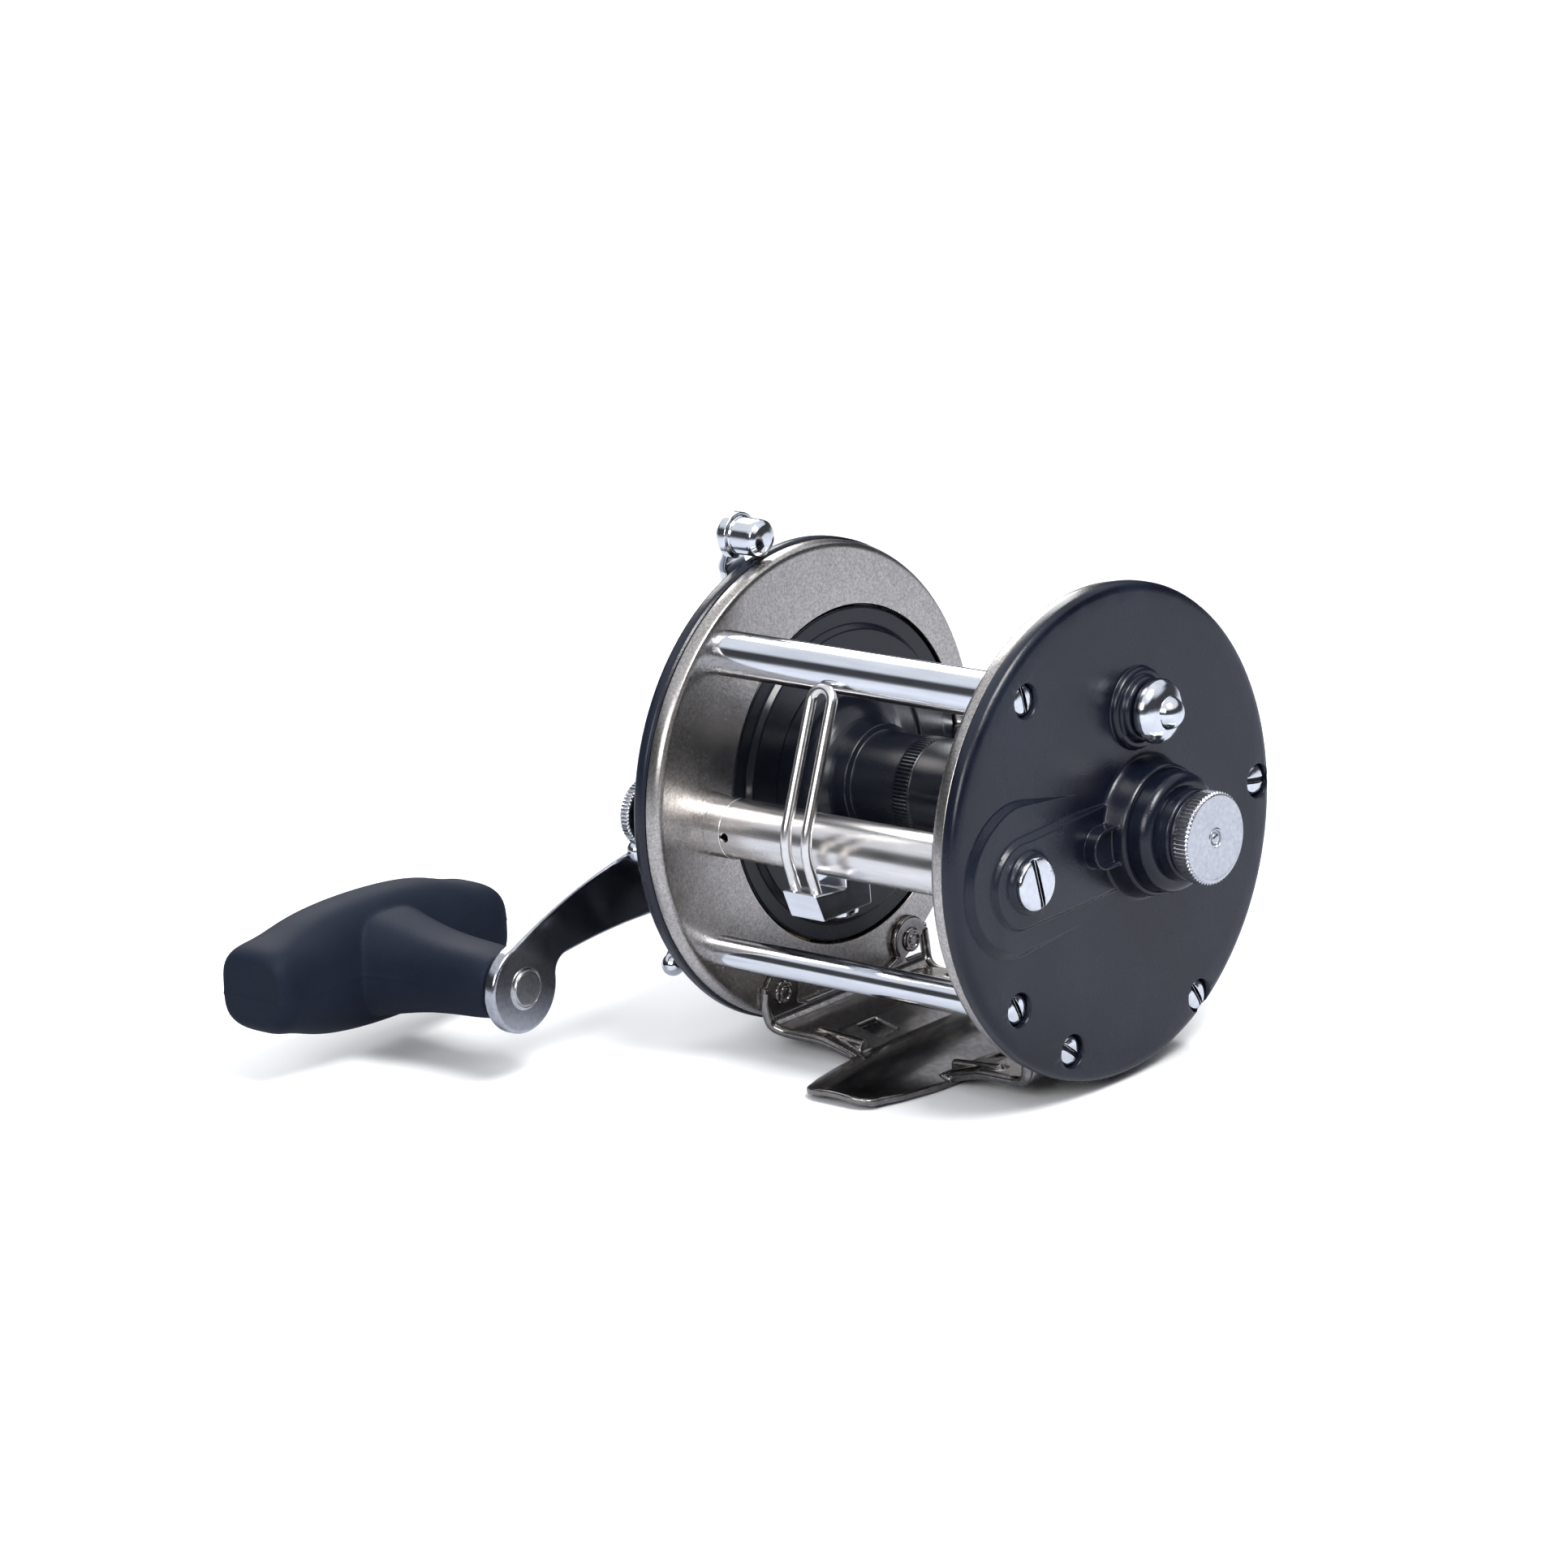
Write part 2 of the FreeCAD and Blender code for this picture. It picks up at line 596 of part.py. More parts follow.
def line_guide():
    """Wire loop: two legs that lean out past the shield and back to the round top."""
    foot = (31.8, -7.2)
    knee = (34.4, 1.2)
    top = (25.5, 22.9)
    path_r = WIRE_HALF_GAP
    lean = heading(knee, top)
    solids = []
    for side in (-1, 1):
        x = GUIDE_X + side * WIRE_HALF_GAP
        for a, b in ((foot, knee), (knee, top)):
            start = spot(a, x)
            run = spot(b, x) - start
            solids.append(Part.makeCylinder(WIRE_R, run.Length, start, run))
        solids.append(Part.makeSphere(WIRE_R, spot(knee, x)))
    left = spot(top, GUIDE_X - path_r)
    normal = V(0, -math.sin(lean), math.cos(lean))
    ring = Part.makeTorus(path_r, WIRE_R, spot(top, GUIDE_X), normal)
    along = V(0, math.cos(lean), math.sin(lean))
    half = Part.makeBox(12, 12, 12, V(-6, 0, -6))
    half.rotate(V(0, 0, 0), X_DIR, math.degrees(math.atan2(along.z, along.y)))
    half.translate(spot(top, GUIDE_X))
    solids.append(ring.common(half))
    return solids[0].multiFuse(solids[1:])


def pawl():
    return Part.makeCylinder(1.3, 6.6, spot((WORM[0], -10.9), GUIDE_X), Z_DIR)


def pawl_cap():
    y, z = WORM
    points = [(0, -12.7), (2.2, -12.7), (2.8, -12.2), (2.8, -11.2), (0, -11.2)]
    corners = [spot((y, h), GUIDE_X + r) for r, h in points]
    face = Part.Face(Part.makePolygon(corners + [corners[0]]))
    return face.revolve(spot((y, 0), GUIDE_X), Z_DIR, 360)


# ---------------------------------------------------------------- spool

def spool_body():
    """Moulded spool: two flanges with raised rims and a narrow arbor with rounded shoulders."""
    half = [
        (FLANGE_OUTER_X, SHAFT_R), (FLANGE_OUTER_X, FLANGE_R - 0.3), (FLANGE_OUTER_X - 0.3, FLANGE_R),
        (FLANGE_INNER_X + 0.3, FLANGE_R), (FLANGE_INNER_X, FLANGE_R - 0.3), (FLANGE_INNER_X, CHEEK_R + 0.6),
        (CHEEK_X, CHEEK_R), (CHEEK_X, 18.2), (CHEEK_X + 0.4, 17.8),
        (CHEEK_X + 0.4, SHOULDER_R + ARBOR_R + 1.0),
    ]
    centre = (CHEEK_X + 0.4 - SHOULDER_R, ARBOR_R + 1.0 + SHOULDER_R)
    for k in range(1, 6):
        a = math.radians(18 * k)
        half.append((centre[0] + SHOULDER_R * math.cos(a), centre[1] - SHOULDER_R * math.sin(a)))
    half += [(20.8, ARBOR_R + 1.0), (20.4, ARBOR_R), (0, ARBOR_R)]
    profile = half + [(-x, r) for x, r in half[::-1]][1:]
    return turned(profile, SPOOL)


def spool_shaft():
    shaft = rod(-43.9, 42.8, SHAFT_R, SPOOL)
    return shaft.cut(drive_pin_bore())


def drive_pin_bore():
    return Part.makeCylinder(0.72, 8, spot((SPOOL[0], SPOOL[1] - 4), 31.4), Z_DIR)


def drive_pin():
    return Part.makeCylinder(0.7, 7.0, spot((SPOOL[0], SPOOL[1] - 3.5), 31.4), Z_DIR)


def click_ratchet():
    disc = toothed(24, 6.9, 8.0, -30.9, -FLANGE_OUTER_X, SPOOL, 0.0, 0.9, 0.12)
    return disc.cut(rod(-31, -29, SHAFT_R, SPOOL))


# ---------------------------------------------------------------- gears

PINION_LINE = heading(HUB, SPOOL)
MAIN_PHASE = PINION_LINE
PINION_PHASE = mesh_phase(MAIN_PHASE, HANDLE_TEETH, HUB, SPOOL, PINION_TEETH)
SPOOL_PHASE = heading(SPOOL, IDLER)
IDLER_PHASE = mesh_phase(SPOOL_PHASE, SPOOL_TEETH, SPOOL, IDLER, IDLER_TEETH)
WORM_PHASE = mesh_phase(IDLER_PHASE, IDLER_TEETH, IDLER, WORM, WORM_TEETH)


def main_gear():
    disc = gear(HANDLE_TEETH, MAIN_X0, MAIN_X1, HUB, MAIN_PHASE)
    return disc.cut(rod(32, 36, SLEEVE_R, HUB))


def pinion_gear():
    """Pinion with a slot for the drive pin and a groove for the yoke."""
    collar = turned([
        (30.9, 0), (30.9, 3.8), (32.4, 3.8), (32.4, 3.3), (37.0, 3.3), (37.0, 4.6), (37.8, 4.6), (37.8, 0),
    ], SPOOL)
    teeth = gear(PINION_TEETH, 32.4, 35.6, SPOOL, PINION_PHASE)
    slot = box(30.5, 32.3, SPOOL[0] - 0.8, SPOOL[0] + 0.8, SPOOL[1] - 6, SPOOL[1] + 6)
    return collar.fuse(teeth).cut(Part.makeCompound([slot, rod(30, 39, BORE_R, SPOOL)]))


def spool_gear():
    return gear(SPOOL_TEETH, TRAIN_X0, TRAIN_X1, SPOOL, SPOOL_PHASE).cut(rod(-34, -31, SHAFT_R, SPOOL))


def idler_gear():
    return gear(IDLER_TEETH, TRAIN_X0, TRAIN_X1, IDLER, IDLER_PHASE).cut(rod(-34, -31, 1.55, IDLER))


def worm_gear():
    disc = gear(WORM_TEETH, TRAIN_X0, TRAIN_X1, WORM, WORM_PHASE)
    windows = [rod(-34, -31, 2.4, polar(WORM, 7.2, 60 * k)) for k in range(6)]
    return disc.cut(Part.makeCompound(windows + [rod(-34, -31, JOURNAL_R, WORM)]))


def idler_stud():
    return turned([
        (-34.5, 0), (-34.5, 1.0), (-33.6, 1.0), (-33.5, 1.5), (-31.5, 1.5), (-31.5, 2.2), (-31.1, 2.2),
        (-31.1, 0),
    ], IDLER)


# ---------------------------------------------------------------- bridge and drive

BRIDGE_PADS = ((-17.5, 13.0), (-23.0, -3.0), (-14.5, -19.0), (15.5, 3.5))
YOKE_AXIS = heading(SPOOL, HUB) + math.pi / 2
YOKE_POSTS = tuple(polar(SPOOL, 9.0, math.degrees(YOKE_AXIS) + 180 * k) for k in range(2))


def bridge():
    """Bridge plate with the gear post and the two yoke posts riveted into it."""
    x0, x1 = 30.0, 31.0
    arms = [bar(SPOOL, p, 2.6, x0, x1) for p in BRIDGE_PADS]
    arms.append(taper_bar(SPOOL, 8.5, HUB, 6.6, x0, x1))
    arms.append(bar(HUB, DOG_PIVOT, 2.4, x0, x1))
    arms += [rod(x0, x1, 2.6, p) for p in YOKE_POSTS]
    posts = [rod(x0, 50.0, POST_R, HUB)]
    posts += [rod(x0, 39.4, 1.0, p) for p in YOKE_POSTS]
    body = rod(x0, x1, 9.5, SPOOL).multiFuse(arms + posts).removeSplitter()
    holes = [rod(29, 32, 5.7, SPOOL)]
    sink = [(29.9, 0), (29.9, 1.85), (30.8, 0.95), (31.5, 0.95), (31.5, 0)]
    holes += [turned(sink, p) for p in BRIDGE_PADS]
    holes.append(rod(29, 32, 0.9, DOG_PIVOT))
    return body.cut(Part.makeCompound(holes))


def bridge_screws():
    screws = []
    for p in BRIDGE_PADS:
        head = turned([(30.0, 0), (30.0, 1.7), (30.7, 0.9), (30.7, 0)], p)
        screws.append(head.fuse(rod(30.5, 33.4, 0.9, p)))
    return screws


def release_yoke():
    """Yoke that holds the pinion's groove and slides on the two posts."""
    x0, x1 = 35.8, 36.8
    body = bar(YOKE_POSTS[0], YOKE_POSTS[1], 2.6, x0, x1)
    tail = taper_bar(SPOOL, 5.4, (-3.6, 11.2), 3.0, x0, x1)
    cuts = [rod(35, 38, 3.4, SPOOL)]
    cuts += [rod(35, 38, 1.1, p) for p in YOKE_POSTS]
    return rod(x0, x1, 5.6, SPOOL).multiFuse([body, tail]).removeSplitter().cut(Part.makeCompound(cuts))


def release_jack():
    """Fork between the lever's cam and the yoke."""
    tail = bar(LEVER_PIVOT, (-3.6, 11.4), 4.2, 34.7, 35.8)
    return tail.cut(rod(34, 36, 2.45, LEVER_PIVOT))


def yoke_springs():
    """Short springs on the posts above the yoke, drawn at their pressed length."""
    return [tube(38.5, 39.4, 1.9, 1.15, p) for p in YOKE_POSTS]


def ratchet_wheel():
    disc = toothed(12, 7.8, 9.0, 31.3, 32.4, HUB, 0.0, 0.95, 0.1)
    return disc.cut(rod(31, 33, SLEEVE_R, HUB))


def anti_reverse_dog():
    tip = (-3.2, -21.2)
    body = taper_bar(DOG_PIVOT, 2.0, tip, 0.9, 31.3, 32.3)
    return body.cut(rod(31, 33, 0.95, DOG_PIVOT))


def dog_stud():
    return rod(30.0, 32.4, 0.9, DOG_PIVOT).fuse(rod(32.35, 32.7, 1.5, DOG_PIVOT))


def dog_spring():
    """Fine wire spring that leans on the dog's back."""
    start = (-12.6, -9.6)
    end = (-9.9, -16.6)
    wire_r = 0.25
    run = spot(end, 31.8) - spot(start, 31.8)
    leg = Part.makeCylinder(wire_r, run.Length, spot(start, 31.8), run)
    return leg.fuse(rod(31.0, 32.3, 0.8, start))


def gear_sleeve():
    return tube(31.2, 50.0, SLEEVE_R, POST_BORE_R, HUB).fuse(tube(50.0, 53.4, 3.2, POST_BORE_R, HUB))


def drag_washers(first_x, count):
    step = 1.0
    return [tube(x, x + 0.5, 11.0, SLEEVE_R, HUB) for x in [first_x + step * k for k in range(count)]]


def drag_spacer():
    return tube(38.2, 46.6, 4.8, SLEEVE_R, HUB)


def star_wheel():
    """Star-shaped drag wheel: five rounded arms with ball tips on a stepped hub."""
    reach = 18.9
    hub = tube(46.6, 49.8, 7.2, SLEEVE_R + 0.05, HUB)
    arms = []
    start = -52.3
    for k in range(5):
        degrees = start + 72 * k
        tip = polar(HUB, reach, degrees)
        arms.append(taper_bar(HUB, 4.6, tip, 1.5, 47.2, 49.2))
        arms.append(Part.makeSphere(1.95, spot(tip, 48.45)))
    body = hub.multiFuse(arms)
    return body.cut(rod(46, 51, SLEEVE_R + 0.05, HUB))


def arc_outline(upper, lower, x0, x1):
    """Flat plate between two arcs, each through three places, joined by straight ends."""
    top = Part.Arc(*[spot(p, x0) for p in upper]).toShape()
    bottom = Part.Arc(*[spot(p, x0) for p in lower]).toShape()
    end_1 = Part.makeLine(spot(upper[2], x0), spot(lower[0], x0))
    end_2 = Part.makeLine(spot(lower[2], x0), spot(upper[0], x0))
    return Part.Face(Part.Wire([top, end_1, bottom, end_2])).extrude(V(x1 - x0, 0, 0))


def handle_arm():
    """Forged arm whose edges curve from the hub down to the round grip boss."""
    boss_r = 7.5
    upper = (polar(HUB, 7.2, 88), (30.6, -11.0), polar(GRIP_AXIS, boss_r, 55))
    lower = (polar(GRIP_AXIS, boss_r, 158), (29.0, -21.3), polar(HUB, 7.2, -92))
    web = arc_outline(upper, lower, ARM_X0, ARM_X1)
    short_end = taper_bar(HUB, 7.2, polar(HUB, 13.5, 176.5), 4.6, ARM_X0, ARM_X1)
    arm = web.multiFuse([rod(ARM_X0, ARM_X1, boss_r, GRIP_AXIS), short_end]).removeSplitter()
    arm = arm.cut(Part.makeCompound([rod(50, 54, 3.2, HUB), rod(50, 54, GRIP_POST_R, GRIP_AXIS)]))
    thick = ARM_X1 - ARM_X0
    upright = [e for e in arm.Edges if abs(e.BoundBox.XLength - thick) < 0.01 and e.Length < thick + 0.1]
    boss_corners = [e for e in upright if e.CenterOfMass.y > 35 and e.CenterOfMass.z < PLATE_Z - 20]
    arm = arm.makeFillet(3.0, boss_corners)
    flat = [e for e in arm.Edges if e.BoundBox.XLength < 0.01]
    rim = [e for e in flat if e.BoundBox.DiagonalLength > 7.5]
    return arm.makeFillet(0.6, rim)


def handle_nut():
    """Six-sided nut that clamps the arm on the gear sleeve."""
    across = 5.6
    outline = [polar(HUB, across, 60 * k + 10) for k in range(6)]
    nut = plate(outline, 53.2, 56.0)
    blank = turned([(53.2, 0), (53.2, 5.5), (55.3, 5.7), (56.0, 5.0), (56.0, 0)], HUB)
    return nut.common(blank).cut(rod(53, 53.5, 3.2, HUB))


def nut_lock_screw():
    place = polar(HUB, 7.9, -5)
    head = turned([(53.2, 0), (53.2, 1.8), (54.0, 1.8), (54.3, 1.3), (54.3, 0)], place)
    slot = box(54.0, 54.5, place[0] - 2, place[0] + 2, place[1] - 0.25, place[1] + 0.25)
    return head.cut(slot)


def grip_post():
    """Post riveted through the arm, with a shoulder and a retaining head at its outer end."""
    post = rod(50.2, 82.0, GRIP_POST_R, GRIP_AXIS)
    rivet = turned([(50.2, 0), (50.2, 2.6), (50.8, 3.7), (50.8, 0)], GRIP_AXIS)
    shoulder = rod(53.2, 54.4, 5.0, GRIP_AXIS)
    head = rod(82.0, 83.2, 4.2, GRIP_AXIS)
    return post.multiFuse([rivet, shoulder, head])


def boxy_wire(centre, half_a, half_b, axis_a, axis_b, power):
    """Closed smooth wire: an ellipse squared off by a power above two."""
    sides = 32
    points = []
    for k in range(sides):
        a = FULL_TURN * k / sides
        c, s = math.cos(a), math.sin(a)
        u = half_a * math.copysign(abs(c) ** (2 / power), c)
        w = half_b * math.copysign(abs(s) ** (2 / power), s)
        points.append(centre + axis_a * u + axis_b * w)
    curve = Part.BSplineCurve()
    curve.interpolate(points, PeriodicFlag=True)
    return Part.Wire(curve.toShape())


def handle_grip():
    """T-shaped grip: a crossbar with flat ends on a flared stem, free to spin on its post."""
    bar_x = 87.0
    tilt = 2.3
    half_bar = (
        (26.9, 6.2, 5.3, 3.6),
        (26.4, 6.8, 6.1, 3.4),
        (22.0, 7.3, 7.8, 3.0),
        (15.5, 7.4, 9.6, 2.7),
        (8.0, 7.4, 10.8, 2.6),
    )
    bar_rows = [(-row[0], *row[1:]) for row in half_bar] + [(0.0, 7.4, 11.1, 2.6)] + list(half_bar[::-1])
    stem_rows = ((54.8, 5.9, 5.2), (64.0, 6.1, 6.1), (73.0, 6.8, 7.2), (78.0, 7.8, 8.2), (84.0, 10.5, 9.0))
    bar_wires = []
    for y, across, tall, power in bar_rows:
        bar_wires.append(boxy_wire(V(bar_x, y, 0), across, tall, X_DIR, Z_DIR, power))
    stem_wires = [boxy_wire(V(x, 0, 0), across, tall, Y_DIR, Z_DIR, 2.8) for x, across, tall in stem_rows]
    grip = Part.makeLoft(bar_wires, True, False).fuse(Part.makeLoft(stem_wires, True, False))
    grip.rotate(V(0, 0, 0), X_DIR, tilt)
    grip.translate(spot(GRIP_AXIS))
    return grip.cut(rod(54, 82.2, GRIP_POST_R + 0.06, GRIP_AXIS).fuse(rod(81.8, 83.4, 4.4, GRIP_AXIS)))


# ---------------------------------------------------------------- lever, click and caps

LEVER_KNOB = (8.1, 42.6)


def free_spool_lever():
    """Bent lever with a round knob over the plate's edge and a cam on its inner end."""
    arm = taper_bar(LEVER_PIVOT, 4.6, (4.9, 36.4), 2.4, 39.3, 41.0)
    upper = bar((4.9, 36.4), LEVER_KNOB, 2.4, 39.3, 41.0)
    shaft = rod(32.5, 41.8, 2.2, LEVER_PIVOT)
    cam = rod(32.5, 34.3, 3.9, LEVER_PIVOT)
    screw_head = rod(41.0, 41.9, 3.0, LEVER_PIVOT)
    knob = turned([
        (29.0, 0), (29.15, 1.2), (29.7, 2.3), (30.6, 3.0), (31.4, 3.1), (36.8, 3.1), (36.8, 3.85),
        (39.0, 3.85), (39.3, 3.5), (39.3, 0),
    ], LEVER_KNOB)
    return arm.multiFuse([upper, shaft, cam, screw_head, knob])


def click_button():
    """Mushroom button with a ball centre on a stud that runs in the slot."""
    stud = rod(-38.8, -30.8, 1.6, CLICK)
    cap = turned([
        (-37.0, 0), (-37.0, 4.6), (-37.5, 5.2), (-38.3, 5.3), (-39.3, 4.9), (-40.1, 4.0), (-40.6, 2.9),
        (-40.8, 2.6), (-40.8, 0),
    ], CLICK)
    ball = Part.makeSphere(2.75, spot(CLICK, -40.2))
    return stud.multiFuse([cap, ball])


def click_tongue():
    """Tongue behind the plate that drops towards the click ratchet."""
    y, z = CLICK
    tip_z = 10.2
    half = 2.6
    right = [(y, tip_z), (y + half, tip_z + 3.2), (y + half, z + 2.4)]
    left = [(y - half, z + 2.4), (y - half, tip_z + 3.2)]
    return plate(right + left, -30.8, -29.9)


def click_spring():
    """Wire spring fixed behind the plate, one leg each side of the tongue."""
    y, z = CLICK
    legs = []
    for side in (-1, 1):
        start = (y + side * 8.6, z + 4.6)
        end = (y + side * 3.4, z - 6.5)
        run = spot(end, -30.4) - spot(start, -30.4)
        legs.append(Part.makeCylinder(0.35, run.Length, spot(start, -30.4), run))
        legs.append(rod(-31.0, -30.0, 0.9, start))
    legs.append(Part.makeCylinder(0.35, 17.2, spot((y - 8.6, z + 4.6), -30.45), Y_DIR))
    return legs[0].multiFuse(legs[1:])


def left_bearing_cap():
    rim = knurled(-48.5, -45.4, 7.5, SPOOL, 60)
    dimple = Part.makeSphere(0.9, spot(SPOOL, -49.0))
    pip = rod(-48.75, -48.0, 0.55, SPOOL)
    return rim.cut(dimple).fuse(pip).fuse(rod(-45.6, -44.3, 3.95, SPOOL))


def right_bearing_cap():
    return knurled(43.5, 45.8, 6.3, SPOOL, 50).fuse(rod(43.15, 43.7, 3.95, SPOOL))


# ---------------------------------------------------------------- files

save("left_ring", side_ring(-1))
save("right_ring", side_ring(1))
save("left_side_plate", left_side_plate())
save("right_side_plate", right_side_plate())
save("pillar_top", pillar(TOP_PILLAR, 3.75))
save("pillar_lower", pillar(LOWER_PILLAR, 2.55))
save("pillar_rear", pillar(REAR_PILLAR, 2.5))
save("left_pillar_screws", pillar_screws(-1))
save("right_pillar_screws", pillar_screws(1))
save("left_stand_screws", stand_screws(-1))
save("right_stand_screws", stand_screws(1))
save("reel_stand", reel_stand())
save("worm_shield", worm_shield())
save("shield_collar", shield_collar())
save("worm_cap_screw", worm_cap_screw())
save("worm_end_cap", worm_end_cap())
save("worm_bushing_right", tube(31.0, 35.0, 3.2, JOURNAL_BORE_R, WORM))
save("left_spool_bushing", tube(-44.0, -38.0, 4.0, BORE_R, SPOOL))
save("right_spool_bushing", tube(39.7, 43.0, 4.0, BORE_R, SPOOL))
save("sleeve_bushing", tube(39.7, 42.6, 5.0, 4.85, HUB))
save("bridge", bridge())
save("bridge_screws", bridge_screws())
save("idler_stud", idler_stud())
save("dog_stud", dog_stud())
save("dog_spring", dog_spring())
save("yoke_springs", yoke_springs())
save("click_spring", click_spring())
save("gear_sleeve", gear_sleeve())
save("ratchet_wheel", ratchet_wheel())
save("main_gear", main_gear())
save("drag_washers_metal", drag_washers(35.7, 3))
save("drag_washers_fibre", drag_washers(35.2, 3))
save("drag_spacer", drag_spacer())
save("handle_arm", handle_arm())
save("handle_nut", handle_nut())
save("nut_lock_screw", nut_lock_screw())
save("grip_post", grip_post())
save("handle_grip", handle_grip())
save("star_wheel", star_wheel())
save("anti_reverse_dog", anti_reverse_dog())
save("spool_body", spool_body())
save("spool_shaft", spool_shaft())
save("drive_pin", drive_pin())
save("click_ratchet", click_ratchet())
save("spool_gear", spool_gear())
save("idler_gear", idler_gear())
save("worm_gear", worm_gear())
save("level_wind_worm", level_wind_worm())
save("pinion_gear", pinion_gear())
save("release_yoke", release_yoke())
save("release_jack", release_jack())
save("free_spool_lever", free_spool_lever())
save("carriage_block", carriage_block())
save("line_guide", line_guide())
save("pawl", pawl())
save("pawl_cap", pawl_cap())
save("click_button", click_button())
save("click_tongue", click_tongue())
save("left_bearing_cap", left_bearing_cap())
save("right_bearing_cap", right_bearing_cap())
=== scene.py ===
import bmesh
import bpy
import json
import math
from mathutils import Matrix, Vector

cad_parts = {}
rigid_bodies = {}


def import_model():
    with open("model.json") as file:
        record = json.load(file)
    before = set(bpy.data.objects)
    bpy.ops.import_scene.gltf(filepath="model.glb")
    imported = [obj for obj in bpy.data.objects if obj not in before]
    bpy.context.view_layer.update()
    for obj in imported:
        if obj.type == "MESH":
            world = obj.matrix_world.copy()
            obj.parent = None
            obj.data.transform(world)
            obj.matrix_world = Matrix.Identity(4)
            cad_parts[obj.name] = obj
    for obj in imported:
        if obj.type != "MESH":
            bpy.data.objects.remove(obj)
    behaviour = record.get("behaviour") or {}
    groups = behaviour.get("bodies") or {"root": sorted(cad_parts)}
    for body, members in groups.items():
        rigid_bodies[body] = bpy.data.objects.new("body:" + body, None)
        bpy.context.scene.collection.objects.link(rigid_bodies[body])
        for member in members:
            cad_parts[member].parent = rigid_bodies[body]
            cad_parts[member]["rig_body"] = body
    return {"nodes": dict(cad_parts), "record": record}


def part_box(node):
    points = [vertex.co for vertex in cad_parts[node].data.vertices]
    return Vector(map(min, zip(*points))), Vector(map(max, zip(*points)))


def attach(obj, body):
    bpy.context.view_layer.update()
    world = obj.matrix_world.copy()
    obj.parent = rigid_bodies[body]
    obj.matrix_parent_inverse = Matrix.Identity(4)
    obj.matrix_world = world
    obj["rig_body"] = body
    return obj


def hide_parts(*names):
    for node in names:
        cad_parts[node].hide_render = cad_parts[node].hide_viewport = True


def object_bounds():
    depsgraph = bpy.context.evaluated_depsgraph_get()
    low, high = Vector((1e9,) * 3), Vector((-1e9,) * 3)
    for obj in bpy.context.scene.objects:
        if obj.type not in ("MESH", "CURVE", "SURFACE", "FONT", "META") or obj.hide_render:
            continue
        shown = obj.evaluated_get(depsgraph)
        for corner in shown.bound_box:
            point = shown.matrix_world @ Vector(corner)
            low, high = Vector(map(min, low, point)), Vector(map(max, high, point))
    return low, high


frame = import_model()
NODES = frame["nodes"]
CAD_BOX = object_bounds()
TAU = 2 * math.pi


# ---------------------------------------------------------------- places, from the frame

def centre(node):
    low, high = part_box(node)
    return (low + high) / 2


PLATE = centre("left_ring")


# ---------------------------------------------------------------- materials

def new_material(name):
    material = bpy.data.materials.new(name)
    material.use_nodes = True
    return material, material.node_tree, material.node_tree.nodes["Principled BSDF"]


def object_coords(tree, scale=(1, 1, 1)):
    """Object-space coordinates in metres, stretched by scale."""
    coords = tree.nodes.new("ShaderNodeTexCoord")
    mapping = tree.nodes.new("ShaderNodeMapping")
    mapping.inputs["Scale"].default_value = scale
    tree.links.new(coords.outputs["Object"], mapping.inputs["Vector"])
    return mapping.outputs["Vector"]


def noise_map(tree, vector, scale, detail=4.0, rough=0.55):
    node = tree.nodes.new("ShaderNodeTexNoise")
    node.inputs["Scale"].default_value = scale
    node.inputs["Detail"].default_value = detail
    node.inputs["Roughness"].default_value = rough
    tree.links.new(vector, node.inputs["Vector"])
    return node.outputs["Fac"]


def ramp(tree, fac, low, high, colour_low, colour_high):
    node = tree.nodes.new("ShaderNodeValToRGB")
    node.color_ramp.elements[0].position = low
    node.color_ramp.elements[1].position = high
    node.color_ramp.elements[0].color = (*colour_low, 1)
    node.color_ramp.elements[1].color = (*colour_high, 1)
    tree.links.new(fac, node.inputs["Fac"])
    return node.outputs["Color"]


def spread(tree, fac, low, high):
    """Maps the middle of a noise, 0.3..0.7, to low..high."""
    node = tree.nodes.new("ShaderNodeMapRange")
    node.inputs["From Min"].default_value = 0.3
    node.inputs["From Max"].default_value = 0.7
    node.inputs["To Min"].default_value = low
    node.inputs["To Max"].default_value = high
    tree.links.new(fac, node.inputs["Value"])
    return node.outputs["Result"]


def add_bump(tree, shader, heights, distance):
    """Bump from several (height, strength) maps."""
    normal = None
    for height, strength in heights:
        bump = tree.nodes.new("ShaderNodeBump")
        bump.inputs["Strength"].default_value = strength
        bump.inputs["Distance"].default_value = distance
        tree.links.new(height, bump.inputs["Height"])
        if normal:
            tree.links.new(normal, bump.inputs["Normal"])
        normal = bump.outputs["Normal"]
    tree.links.new(normal, shader.inputs["Normal"])


def moulded_plastic(name, dark, light, rough, grain=0.25, shine=0.35):
    """Black moulded plastic: faint cloudiness, fine pitting and a few handling marks."""
    material, tree, shader = new_material(name)
    where = object_coords(tree)
    cloud = noise_map(tree, where, 60, 5)
    pits = noise_map(tree, where, 2600, 3)
    marks = noise_map(tree, object_coords(tree, (1, 0.12, 1)), 900, 2)
    tree.links.new(ramp(tree, cloud, 0.35, 0.7, dark, light), shader.inputs["Base Color"])
    tree.links.new(spread(tree, cloud, rough - 0.05, rough + 0.07), shader.inputs["Roughness"])
    shader.inputs["Specular IOR Level"].default_value = shine
    add_bump(tree, shader, [(pits, grain), (marks, grain * 0.3)], 0.00006)
    return material


